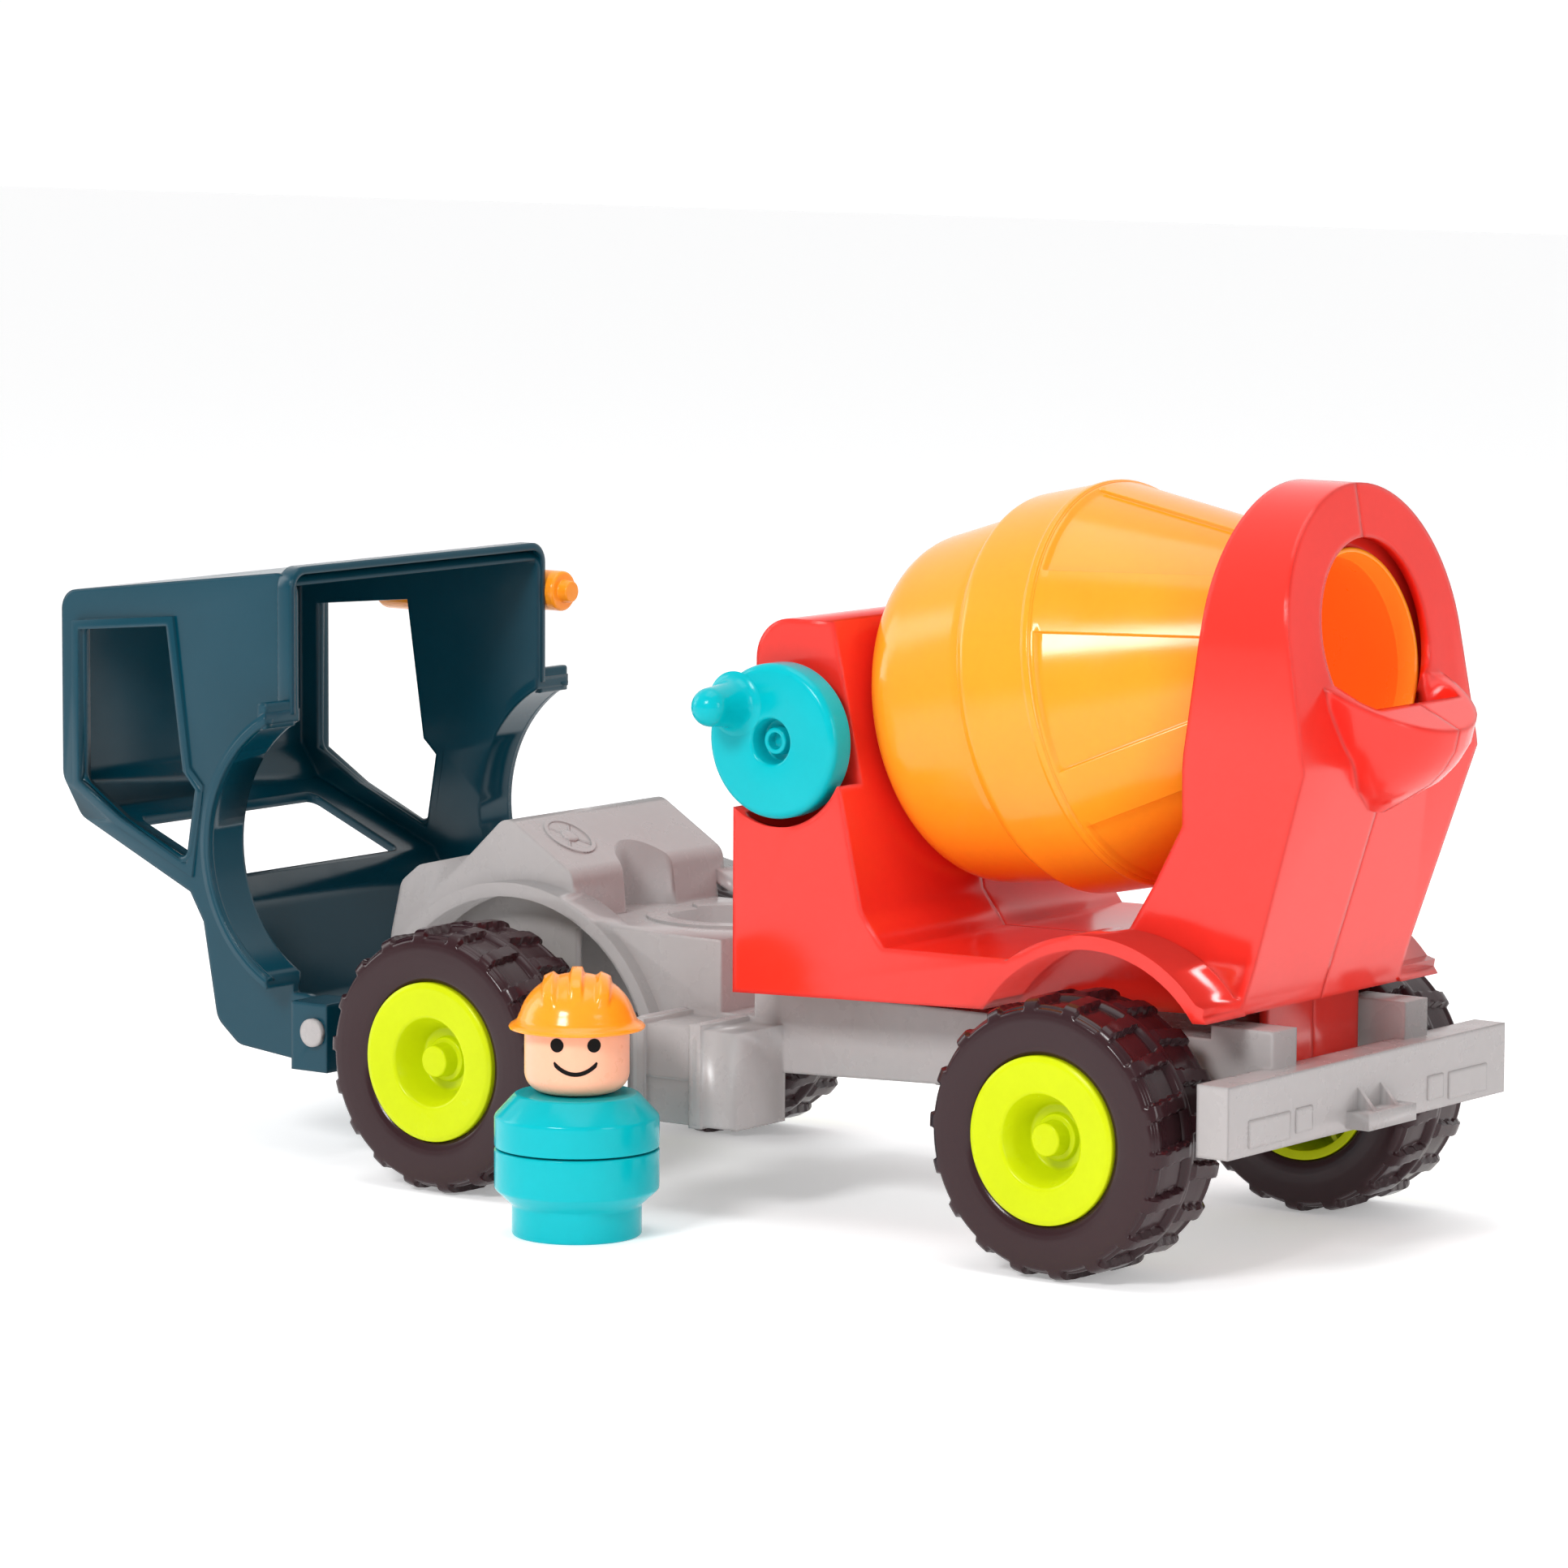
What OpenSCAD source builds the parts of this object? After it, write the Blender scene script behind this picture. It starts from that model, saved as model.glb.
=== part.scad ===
// Toy cement mixer lorry with a tip-forward cab, a crank-driven drum and a loose driver figure.
// The lorry stands on z = 0, its front faces -Y, x = 0 is its middle plane and
// y = 0 lies halfway between the axles. The cab is drawn tipped open.

/* [Wheels] */
// Distance between the two axles
wheelbase = 200; // [196:1:204]
// Tyre radius over the tread
tyre_r = 36.2; // [35.8:0.1:36.6]
// Tyre width
tyre_w = 31.3; // [30:0.1:32]
// Hub radius, where the tyre grips it
hub_r = 21.7; // [21.5:0.1:22.5]
// Distance from the middle plane to the outer face of the hubs
hub_face_x = 76.6; // [76:0.1:77]
// Axle radius
axle_r = 2.5; // [2.3:0.1:2.7]

/* [Chassis] */
// Half width of the chassis sides
chassis_hw = 37.5; // [37:0.1:38]
// Height of the seat deck
deck_z = 71.5; // [71:0.1:72]
// Half width of the bonnet block
bonnet_hw = 34; // [33:0.5:35]
// Radius of the front wheel-arch rims
arch_r = 51.4; // [51:0.1:52]
// Radius of the seat socket
socket_r = 17.65; // [17.5:0.05:17.8]
// Depth of the seat socket
socket_depth = 12; // [10:0.5:12]
// Bumper half width
bumper_hw = 67.3; // [66:0.1:68]

/* [Mixer body] */
// Half width of the body skirt
skirt_hw = 56; // [55.5:0.1:56.5]
// Half width of the front gear tower
tower_hw = 46; // [45.5:0.1:46.5]
// Wall thickness of the body shells
body_wall = 2.4; // [2.2:0.1:2.6]
// Radius of the round hole at the chute
mouth_r = 25.3; // [25:0.1:25.5]

/* [Drum] */
// Upward tilt of the drum axis, in degrees
drum_tilt = 11.5; // [11:0.1:12]
// Radius of the drum's widest band
band_r = 53.7; // [53.5:0.1:54]
// Radius of the front bowl
bowl_r = 49; // [48.5:0.1:49.5]
// Radius of the collar at the drum's mouth
collar_r = 25.8; // [25.5:0.1:26]

/* [Crank] */
// Radius of the crank disc
crank_r = 20.5; // [20:0.1:21]
// Height of the crank axis
crank_z = 129; // [128.8:0.1:129.2]
// Radius of the crank shaft
shaft_r = 3; // [2.8:0.1:3.2]

/* [Cab] */
// Half width of the cab at its lower rim
cab_hw = 55.5; // [55:0.1:56]
// Half width of the cab at its roof
cab_roof_hw = 51.5; // [51:0.1:52]
// Wall thickness of the cab
cab_wall = 2.5; // [2.3:0.1:2.7]
// Opening angle at which the cab is drawn
cab_open = 90; // [90]

/* [Driver] */
// Place of the driver on the ground
driver_x = 95.9; // [94:0.1:98]
// Place of the driver along the lorry
driver_y = -33.3; // [-36:0.1:-30]
// Body radius of the driver
driver_r = 21.7; // [21.5:0.1:22]

/* [Hidden] */
$fn = 96;
eps = 0.01;
// running clearance of shafts in their holes, on the radius
run = 0.05;

lorry_grey = [0.74, 0.73, 0.71];
body_red = [0.94, 0.25, 0.2];
drum_orange = [1, 0.68, 0.2];
cab_blue = [0.07, 0.27, 0.38];
aqua = [0.02, 0.78, 0.82];
lime = [0.86, 0.93, 0.1];
tyre_dark = [0.26, 0.2, 0.21];
steel = [0.72, 0.73, 0.75];
skin = [1, 0.72, 0.56];

front_y = -wheelbase / 2;
rear_y = wheelbase / 2;
tyre_out_x = hub_face_x - 0.5;
tyre_in_x = tyre_out_x - tyre_w;

// cab hinge axis
hinge_y = -149;
hinge_z = 38.4;
hinge_pin_r = 2.5;

// drum reference point: the front edge of its band, on its axis
crank_y = 1;
drum_y = 56.2;
drum_z = crank_z + (drum_y - crank_y) * tan(drum_tilt);
// distance along the drum axis from the reference point back to the crank axis
apex = -(drum_y - crank_y) / cos(drum_tilt);
bowl_front = -36.8;
// where the drum axis leaves the gear tower, and how far its rear wall leans per mm of height
tower_back = -38.3;
tower_lean = 0.225;
band_w = 25;
drum_end = 92.4;
mouth_z = 161.8;

// bevel gears: teeth, module and face width
gear_teeth = 20;
pinion_teeth = 14;
gear_m = 1.3;
gear_r = gear_m * gear_teeth / 2;
pinion_r = gear_m * pinion_teeth / 2;
cone_len = sqrt(gear_r * gear_r + pinion_r * pinion_r);
face_w = 5;

// rear wheel-arch of the body
fender_y = 101;
fender_z = 44;
fender_r = 42.3;
fender_t = 3.6;
fender_in_x = 40;

seat_y = -55;

// notch in the dash in front of the seat
notch_x = 0.5;
notch_y = -81;
notch_r = 11.5;

// ---------- helpers ----------

// extrude a (Y, Z) outline from x0 to x1
module side(x0, x1) {
  translate([x0, 0, 0]) rotate([90, 0, 90]) linear_extrude(height = x1 - x0) children();
}

// extrude an (X, Z) outline from y0 to y1
module across(y0, y1) {
  translate([0, y1, 0]) rotate([90, 0, 0]) linear_extrude(height = y1 - y0) children();
}

// round the outer corners of an outline
module soft(r) {
  offset(r = r, $fn = 32) offset(delta = -r) children();
}

// a cylinder along X, from x0 to x1, through (y, z)
module rod_x(x0, x1, r, y, z) {
  translate([x0, y, z]) rotate([0, 90, 0]) cylinder(h = x1 - x0, r = r);
}

// copies for the left (+X) and right (-X) sides
module both_sides() {
  children();
  mirror([1, 0, 0]) children();
}

// frame of the drum: its axis is local Z, the band's front edge is at the origin
module on_drum_axis() {
  translate([0, drum_y, drum_z]) rotate([drum_tilt - 90, 0, 0]) children();
}

// ---------- chassis ----------

module bonnet_outline(inset = 0) {
  offset(delta = -inset) soft(5)
    polygon([[-148.3, 34], [-148.3, 62], [-144.5, 77.5], [-138, 82.6], [-120, 86.8], [-107, 98.8],
             [-84, 84.6], [-82.4, deck_z], [-82.4, 34]]);
}

module deck_outline() {
  polygon([[-90, 38], [-90, deck_z], [-30.3, deck_z], [-30.3, 52], [-19, 52], [-19, 60],
           [126, 60], [126, 63.5], [144.6, 63.5], [144.6, 42.5], [38, 39.6], [-10, 37.6]]);
}

module side_box() {
  translate([chassis_hw - 1, -46, 24.5]) cube([58 - chassis_hw + 1, 36.5, 26]);
  for (y = [-43.5, -24.6])
    translate([chassis_hw - 1, y, 24]) cube([59.2 - chassis_hw + 1, 4, 27.8]);
}

module arch_rim() {
  difference() {
    rod_x(30, 42, arch_r, -98.5, 30.2);
    rod_x(29, 43, arch_r - 3.8, -98.5, 30.2);
    translate([28, -160, -30]) cube([16, 120, 70]);
    translate([28, -165, -30]) cube([16, 20, 140]);
  }
}

module axle_box(y) {
  translate([-chassis_hw, y - 11, 29]) cube([2 * chassis_hw, 22, 20]);
}

module chassis_solid() {
  side(-bonnet_hw, bonnet_hw) bonnet_outline();
  side(-chassis_hw, chassis_hw) deck_outline();
  both_sides() side_box();
  both_sides() arch_rim();
  axle_box(front_y);
  axle_box(rear_y);
  // front beam that carries the cab hinge
  rod_x(-50.6, 50.6, 6, hinge_y, hinge_z);
  translate([-30, hinge_y, 33]) cube([60, 8, 12]);
  // bumper and tow plate
  translate([-bumper_hw, 141.2, 35.3]) cube([2 * bumper_hw, 9.4, 18.5]);
  translate([-11.6, 149, 36]) cube([23.2, 8.4, 4.4]);
  for (x = [-6, 5])
    side(x, x + 1.4) polygon([[150, 40], [156, 40], [150, 46.8]]);
}

module chassis_hollows() {
  wall = 2.6;
  // inside of the bonnet, kept clear of the wheel wells
  side(-27, 27) difference() {
    bonnet_outline(wall);
    translate([-160, 20]) square([90, 18]);
  }
  side(-27, 27) polygon([[-144, 28], [-144, 45], [-83, 45], [-83, 28]]);
  // inside of the deck and of the rails, open below
  side(wall - chassis_hw, chassis_hw - wall)
    polygon([[-86, 28], [-86, deck_z - wall], [-32.1, deck_z - wall], [-32.1, 49.4],
             [-16.4, 49.4], [-16.4, 57.4], [122, 57.4], [122, 28]]);
  // gap between the two rear rails, open above the bumper
  translate([-26.3, 122 - eps, 30]) cube([52.6, 19.2, 40]);
  translate([-26.3, 141, 53.8]) cube([52.6, 4, 12]);
  // wheel wells beside the bonnet
  both_sides() difference() {
    rod_x(30, 50, arch_r - 3.8, -98.5, 30.2);
    translate([29, -112, 20]) cube([8.5, 24, 26]);
  }
  // inside of the side boxes
  both_sides() translate([chassis_hw - 3, -43.5, 22]) cube([21, 31.5, 26]);
}

module chassis() color(lorry_grey) {
  difference() {
    union() {
      difference() {
        chassis_solid();
        chassis_hollows();
      }
      // seat cup hanging under the deck
      translate([0, seat_y, deck_z - socket_depth - 2]) cylinder(h = socket_depth + 2, r = 20.2);
      // wall round the knee notch
      intersection() {
        side(-bonnet_hw, bonnet_hw) bonnet_outline();
        translate([notch_x, notch_y, deck_z - 2.6]) cylinder(h = 40, r = notch_r + 2.4);
      }
      // raised ring round the seat
      translate([0, seat_y, deck_z - 1]) cylinder(h = 1.8, r = 23.5);
      // bosses round the axles
      for (y = [front_y, rear_y])
        both_sides() rod_x(29, chassis_hw, 6, y, tyre_r);
      // steering wheel moulded on the sloping dash
      translate([19.3, -97.2, 91.4]) rotate([-31, 0, 0]) difference() {
        cylinder(h = 1.6, r = 7.8);
        cylinder(h = 2, r = 6.6);
      }
    }
    // notch in the dash for the driver's knees
    translate([notch_x, notch_y, deck_z]) cylinder(h = 20, r = notch_r);
    // seat socket
    translate([0, seat_y, deck_z - socket_depth]) cylinder(h = 20, r = socket_r);
    // axle holes
    for (y = [front_y, rear_y])
      rod_x(-60, 60, axle_r + run, y, tyre_r);
    // holes for the cab hinge pins
    both_sides() rod_x(34, 60, hinge_pin_r, hinge_y, hinge_z);
    // screw holes up into the mixer body
    for (x = [-20, 20], y = [6, 66])
      translate([x, y, 50]) cylinder(h = 20, r = 1.7);
  }
}

// ---------- mixer body ----------

// straight lower edge of the body, from front to rear
function skirt_z(y) = 61.3 + (y + 12.5) * 5.6 / 146.9;

// rear plane of the gear tower, nearly square to the drum axis
function tower_back_y(z) = drum_y + tower_back * cos(drum_tilt)
  - (z - drum_z - tower_back * sin(drum_tilt)) * tower_lean;

module skirt_outline() {
  polygon([[-12.5, 58], [-12.5, 118.5], [tower_back_y(118.5), 118.5],
           [tower_back_y(86.7), 86.7], [36.1, 77.4], [75, 78], [75, 58]]);
}

module tower_outline() {
  difference() {
    polygon([[-12.5, 64], [-12.5, 160.3], [tower_back_y(160.3), 160.3], [tower_back_y(80), 80],
             [tower_back_y(80), 64]]);
    // rounded top front edge
    difference() {
      translate([-12.5, 149.3]) square([11, 11]);
      translate([-1.5, 149.3]) circle(r = 11);
    }
  }
}

module rear_outline() {
  polygon([[90, 70], [97, 80], [102, 87], [109.3, 98.1], [118.7, 114.3], [119.2, 128.8],
           [123.6, 165], [125.7, 201], [143.4, 201], [150.5, 160], [155.6, 130.5], [136.2, 70.5],
           [133.2, 58], [90, 58]]);
}

// outer face of the chute tower's rear wall, and its inner face
function rear_face_y(z) = z > 130.5 ? 150.5 - (z - 160) * 0.1729 : 136.2 + (z - 70.5) * 19.4 / 60;
function rear_inner_y(z) = rear_face_y(z) - 2.5;

// outline of the chute tower seen from behind
module arch_outline(inset = 0) {
  offset(delta = -inset) {
    translate([0, 159.2]) circle(r = 41.3);
    polygon([[-38, 60], [-38.2, 80], [-42.4, 133], [-41.3, 160],
             [41.3, 160], [42.4, 133], [38.2, 80], [38, 60]]);
  }
}

// scoop under the mouth: half-oval rings from its rim down to its point on the wall,
// each as [height at the wall, half width, reach from the wall], and their slope
scoop_rings = [[151.5, 28, 24.6], [145, 26.2, 22.3], [138, 23, 18], [131, 19, 12.6],
               [124, 13, 7.4], [118, 5, 2.8]];
scoop_slope = 0.5;

// lift raises the rim's ring, and wall makes the rings smaller all round
module scoop_shape(lift = 0, wall = 0) {
  hull()
    for (k = [0 : len(scoop_rings) - 1]) {
      z = scoop_rings[k][0] + (k == 0 ? lift : 0);
      hw = scoop_rings[k][1] - wall;
      reach = scoop_rings[k][2] - wall;
      if (reach > 1)
        multmatrix([[1, 0, 0, 0], [0, 1, 0, rear_face_y(z) - 1.2], [0, -scoop_slope, 1, z],
                    [0, 0, 0, 1]])
          linear_extrude(height = 0.1)
            polygon([for (t = [0 : 9 : 180]) [hw * cos(t), reach * sin(t)]]);
    }
}

// opening in the scoop's flat top, behind its straight edge
module scoop_way() {
  intersection() {
    scoop_shape(8, 2.4);
    side(-22.3, 22.3) polygon([[147, 112], [147, 162], [163, 162], [163, 112]]);
  }
}

module body_solid() {
  difference() {
    union() {
      side(-skirt_hw, skirt_hw) skirt_outline();
      side(-tower_hw, tower_hw) tower_outline();
      // deck under the drum
      side(-fender_in_x, fender_in_x)
        polygon([[60, 58], [60, 77.7], [104, 78.2], [132, 72], [132, 58]]);
      // chute tower
      intersection() {
        side(-skirt_hw, skirt_hw) rear_outline();
        across(60, 200) arch_outline();
      }
      // round rear fenders
      both_sides() rod_x(fender_in_x - body_wall, skirt_hw, fender_r, fender_y, fender_z);
      // strip across the rear, between the fenders' ends
      side(-skirt_hw, skirt_hw) polygon([[126, 58], [128, 73], [135.6, 70.8], [133.4, 58]]);
    }
    // slightly rising lower edge
    side(-60, 60) polygon([[-20, 0], [-20, skirt_z(-20)], [160, skirt_z(160)], [160, 0]]);
  }
  scoop_shape();
}

module body_hollows() {
  w = body_wall;
  // under the front deck
  difference() {
    side(w - skirt_hw, skirt_hw - w)
      polygon([[w - 12.5, 50], [w - 12.5, 118.5 - w], [tower_back_y(118.5) - w, 118.5 - w],
               [tower_back_y(86.7) - w, 86.7 - w], [36.1 - w, 77.4 - w], [75, 78 - w], [75, 50]]);
    rod_x(-60, 60, fender_r - 0.6, fender_y, fender_z);
  }
  // inside the gear tower
  side(w - tower_hw, tower_hw - w) offset(delta = -w) tower_outline();
  // under the rear deck and inside the chute tower, open at the front
  side(w - fender_in_x, fender_in_x - w)
    polygon([[50, 40], [50, 75.2], [98.6, 75.2], [112, 98.1], [121.4, 113.6], [121.4, 119],
             [rear_inner_y(119), 119], [rear_inner_y(70.5), 70.5], [132.4, 66], [132.4, 40]]);
  intersection() {
    side(-skirt_hw, skirt_hw)
      polygon([[105, 118], [105, 205], [124, 205], [124, 198.3], [rear_inner_y(198.3), 198.3],
               [rear_inner_y(130.6), 130.6], [rear_inner_y(118), 118]]);
    across(60, 200) arch_outline(w);
  }
  // wheel spaces under the fenders
  both_sides() rod_x(fender_in_x, 60, fender_r - fender_t, fender_y, fender_z);
}

// inner parts moulded into the body: bearings, webs and screw posts
module body_inner() {
  // ring that carries the collar at the drum's mouth
  intersection() {
    on_drum_axis() translate([0, 0, 88.6]) cylinder(h = 2.4, r = 60);
    side(-skirt_hw, skirt_hw) rear_outline();
    across(60, 200) arch_outline(0.5);
  }
  // boss round the drum's stub shaft
  on_drum_axis() translate([0, 0, tower_back - 5]) cylinder(h = 4, r = 9);
  // bosses and web round the crank shaft
  rod_x(tower_hw - 5, tower_hw + 3.6, 7, crank_y, crank_z);
  side(2.6, 5.6) polygon([[-11, 118], [-11, 139], [5, 134.5], [5, 122.5]]);
  // screw posts that stand on the chassis
  for (x = [-20, 20]) {
    translate([x, 6, 60]) cylinder(h = 26, r = 4);
    translate([x - 1, -11, 63]) cube([2, 16, 23]);
    translate([x, 66, 60]) cylinder(h = 16, r = 4);
  }
  // tongue behind the chassis, between its rails
  translate([-22, 130.6, 50]) cube([44, 2.4, 20]);
}

module body_cuts() {
  // scallop under the crank disc, on the left side only
  rod_x(tower_hw, skirt_hw + 2, crank_r + 2.3, crank_y, crank_z);
  // crank shaft hole
  rod_x(2, tower_hw + 5, shaft_r + run, crank_y, crank_z);
  // drum stub hole
  on_drum_axis() translate([0, 0, tower_back - 8]) cylinder(h = 12, r = 5 + run);
  // collar hole
  on_drum_axis() translate([0, 0, 88]) cylinder(h = 3.8, r = collar_r + run);
  // round mouth above the chute
  translate([0, rear_face_y(mouth_z), mouth_z]) rotate([-80, 0, 0]) translate([0, 0, -3.2])
    cylinder(h = 10, r = mouth_r);
  // way from the mouth down into the scoop
  scoop_way();
  // room for the turning cone behind the tower's front wall
  on_drum_axis() translate([0, 0, 48]) cylinder(h = 39, r1 = 44.7, r2 = 28.6);
  // blind holes for the screws from below
  for (x = [-20, 20]) {
    translate([x, 6, 59]) cylinder(h = 12, r = 1.2);
    translate([x, 66, 59]) cylinder(h = 12, r = 1.2);
  }
}

module body_whole() {
  difference() {
    union() {
      difference() {
        body_solid();
        body_hollows();
      }
      body_inner();
    }
    body_cuts();
  }
}

// seam screws: where the right shell is screwed to the left one
seam_screws_yz = [[-8.6, 106], [22.2, 96], [148.2, 122]];
seam_head_r = 2.1;

module seam_posts(sign) {
  for (p = seam_screws_yz)
    if (sign > 0) rod_x(0, 9, 3.2, p[0], p[1]);
    else rod_x(-9, 0, 3.2, p[0], p[1]);
}

module body_left() color(body_red) {
  difference() {
    union() {
      intersection() {
        body_whole();
        translate([0, -50, 0]) cube([100, 300, 300]);
      }
      seam_posts(1);
    }
    for (p = seam_screws_yz) rod_x(-1, 7, 1.2, p[0], p[1]);
  }
}

module body_right() color(body_red) {
  difference() {
    union() {
      intersection() {
        body_whole();
        translate([-100, -50, 0]) cube([100, 300, 300]);
      }
      seam_posts(-1);
    }
    for (p = seam_screws_yz) {
      rod_x(-10, 1, 1.2, p[0], p[1]);
      rod_x(-13, -9, seam_head_r + 0.1, p[0], p[1]);
    }
  }
}

module screw(shank, r = 1.2, head_r = 2.6, head_h = 1.6) {
  cylinder(h = shank, r = r, $fn = 32);
  translate([0, 0, -head_h]) cylinder(h = head_h, r = head_r, $fn = 32);
}

module body_screws() color(steel) {
  for (x = [-20, 20], y = [6, 66])
    translate([x, y, 57.4]) screw(13);
}

module seam_screws() color(steel) {
  for (p = seam_screws_yz)
    translate([-9, p[0], p[1]]) rotate([0, 90, 0]) screw(15, 1.2, seam_head_r);
}

// ---------- wheels ----------

module axle(y) color(steel)
  rod_x(4 - hub_face_x, hub_face_x - 4, axle_r, y, tyre_r);

// hub drawn on the +X side, at the origin: blind hole, dished face, open back
module hub_shape() {
  difference() {
    rotate([0, 90, 0]) rotate_extrude()
      polygon([[0, 38.6], [4.6, 38.6], [4.6, 62], [19.2, 66], [19.2, 46], [hub_r, 45.5],
               [hub_r, hub_face_x - 1], [hub_r - 1, hub_face_x], [11.8, hub_face_x - 0.2],
               [8.2, 67.4], [5.8, 67.4], [5.8, 69.2], [4.4, 69.6], [4.2, hub_face_x - 2.6],
               [0, hub_face_x - 2.6]]);
    rod_x(30, hub_face_x - 4, axle_r, 0, 0);
  }
  // ribs behind the face
  for (a = [0 : 60 : 300])
    rotate([a, 0, 0]) translate([50, 4.3, -0.7]) cube([14, 16, 1.4]);
}

module tyre_shape() {
  rotate([0, 90, 0]) rotate_extrude()
    polygon([[hub_r, tyre_in_x + 1.4], [24.5, tyre_in_x + 0.2], [30, tyre_in_x],
             [34, tyre_in_x + 0.4], [35.6, tyre_in_x + 1.6], [tyre_r, tyre_in_x + 3.4],
             [tyre_r, tyre_out_x - 3.4], [35.6, tyre_out_x - 1.6], [34, tyre_out_x - 0.4],
             [30, tyre_out_x], [24.5, tyre_out_x - 0.2], [hub_r, tyre_out_x - 1.4]]);
}

module hub(y, side_sign) color(lime)
  translate([0, y, tyre_r]) mirror([side_sign < 0 ? 1 : 0, 0, 0]) hub_shape();

module tyre(y, side_sign) color(tyre_dark)
  translate([0, y, tyre_r]) mirror([side_sign < 0 ? 1 : 0, 0, 0]) tyre_shape();

// ---------- cab ----------

// all cab outlines are drawn with the cab shut, then the cab is tipped about its hinge
module tipped() {
  translate([0, hinge_y, hinge_z]) rotate([cab_open, 0, 0]) translate([0, -hinge_y, -hinge_z])
    children();
}

module cab_outline(inset = 0) {
  offset(delta = -inset) soft(6)
    polygon([[-23.4, 54.9], [-34, 144.4], [-87, 144.4], [-98, 137], [-116, 94.5],
             [-124, 89.4], [-151, 84.2], [-157.4, 76], [-160.2, 45], [-140.8, 45],
             [-140.8, 54.9]]);
}

module cab_width(inset = 0) {
  polygon([[inset - cab_hw, 30], [cab_hw - inset, 30], [cab_hw - inset, 55],
           [cab_roof_hw - inset, 150], [inset - cab_roof_hw, 150], [inset - cab_hw, 55]]);
}

module window_outline() {
  polygon([[-44.4, 135.6], [-41.4, 102.3], [-82, 96.4], [-86.4, 91.8], [-108, 95.4],
           [-97, 120.2], [-87.5, 135.6]]);
}

module cab_shut() {
  difference() {
    union() {
      difference() {
        intersection() {
          side(-60, 60) cab_outline();
          across(-170, 0) cab_width();
        }
        // inside, open below
        intersection() {
          side(-60, 60) {
            cab_outline(cab_wall);
            polygon([[-26.9, 40], [-26.9 - 1, 66], [-140, 66], [-157.6, 60], [-157.6, 40]]);
          }
          across(-170, 0) cab_width(cab_wall);
        }
      }
      // flared wheel arches, hinge brackets and raised window frames
      both_sides() {
        difference() {
          rod_x(52.5, 67, 42.8, front_y, tyre_r);
          translate([50, -180, -20]) cube([20, 160, 74.9]);
          translate([50, -60, 50]) cube([20, 30, 20]);
        }
        side(51, 66) polygon([[-160, 34], [-160, 46.8], [-141, 46.8], [-141, 34]]);
        side(51.4, 54.6) difference() {
          offset(delta = 2.6) window_outline();
          window_outline();
        }
      }
    }
    // side windows
    side(-70, 70) window_outline();
    // windscreen
    across(-125, -90) soft(3) polygon([[-38, 94.5], [38, 94.5], [38, 128], [-38, 128]]);
    // wheel openings in the side walls
    rod_x(-70, 70, 39.8, front_y, tyre_r);
    // hinge holes
    both_sides() rod_x(50, 70, hinge_pin_r + run, hinge_y, hinge_z);
    // blind sockets for the stack's pegs, in the right wall
    for (p = stack_pegs)
      rod_x(-60, -p[1], 1.8, -36.9, p[0]);
  }
}

module cab_shell() color(cab_blue) tipped() cab_shut();

// pegs of the exhaust stack: height, and distance of the tip from the middle plane
stack_pegs = [[66, 53.3], [94, 52.2]];

module exhaust_stack() color(drum_orange) tipped() {
  translate([-61.6, -36.9, 52]) {
    rotate_extrude()
      polygon([[0, -3], [3, -3], [3.6, 0], [5.4, 0], [6, 0.8], [6, 50], [5.2, 51], [3.4, 53],
               [3.4, 82], [2.6, 84], [0, 84]]);
  }
  for (p = stack_pegs)
    rod_x(-58, -p[1], 1.8, -36.9, p[0]);
}

module hinge_pin(sign) color(lorry_grey)
  mirror([sign < 0 ? 1 : 0, 0, 0]) {
    rod_x(40, 66.2, hinge_pin_r, hinge_y, hinge_z);
    rod_x(66.1, 67.6, 3.9, hinge_y, hinge_z);
  }

// ---------- drum ----------

module drum_bowl() color(drum_orange) on_drum_axis() difference() {
  rotate_extrude()
    polygon([[0, apex + 6.5], [4.4, apex + 6.5], [5, apex + 7], [5, bowl_front], [32, bowl_front],
             [38.5, bowl_front + 1.6], [43.5, bowl_front + 6], [46.2, bowl_front + 12.5],
             [bowl_r - 0.8, -12], [bowl_r, -4], [bowl_r, 8], [bowl_r - 2.2, 8],
             [bowl_r - 2.2, -4], [bowl_r - 3, -12], [44, bowl_front + 13], [41.6, bowl_front + 7.4],
             [37, bowl_front + 3.6], [32, bowl_front + 2.2], [5, bowl_front + 2.2],
             [0, bowl_front + 2.2]]);
  // screw hole in the end of the stub shaft
  translate([0, 0, apex]) cylinder(h = 16, r = 1.2);
}

module drum_cone() color(drum_orange) on_drum_axis()
  rotate_extrude()
    polygon([[bowl_r, 0.4], [band_r - 2.4, 0.8], [band_r - 0.7, 2], [band_r, 4.4],
             [band_r, band_w - 0.8], [band_r - 0.7, band_w], [52.6, band_w], [27.6, 86.4],
             [collar_r, 87.4], [collar_r, drum_end - 0.6], [collar_r - 0.6, drum_end],
             [collar_r - 2.2, drum_end], [collar_r - 2.2, 87.2], [25.2, 85.6], [50.4, band_w],
             [51.2, 20], [51.2, 8], [bowl_r, 8]]);

// toothed outline of a bevel gear at its outer end, half angles in degrees
module gear_outline(teeth, r_root, r_pitch, r_top, a_root, a_pitch, a_top) {
  circle(r = r_root + eps, $fn = 48);
  for (i = [0 : teeth - 1])
    rotate(i * 360 / teeth)
      polygon([for (p = [[r_root - 1, -a_root], [r_root, -a_root], [r_pitch, -a_pitch],
                         [r_top, -a_top], [r_top, a_top], [r_pitch, a_pitch],
                         [r_root, a_root], [r_root - 1, a_root]])
               p[0] * [cos(p[1]), sin(p[1])]]);
}

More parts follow.
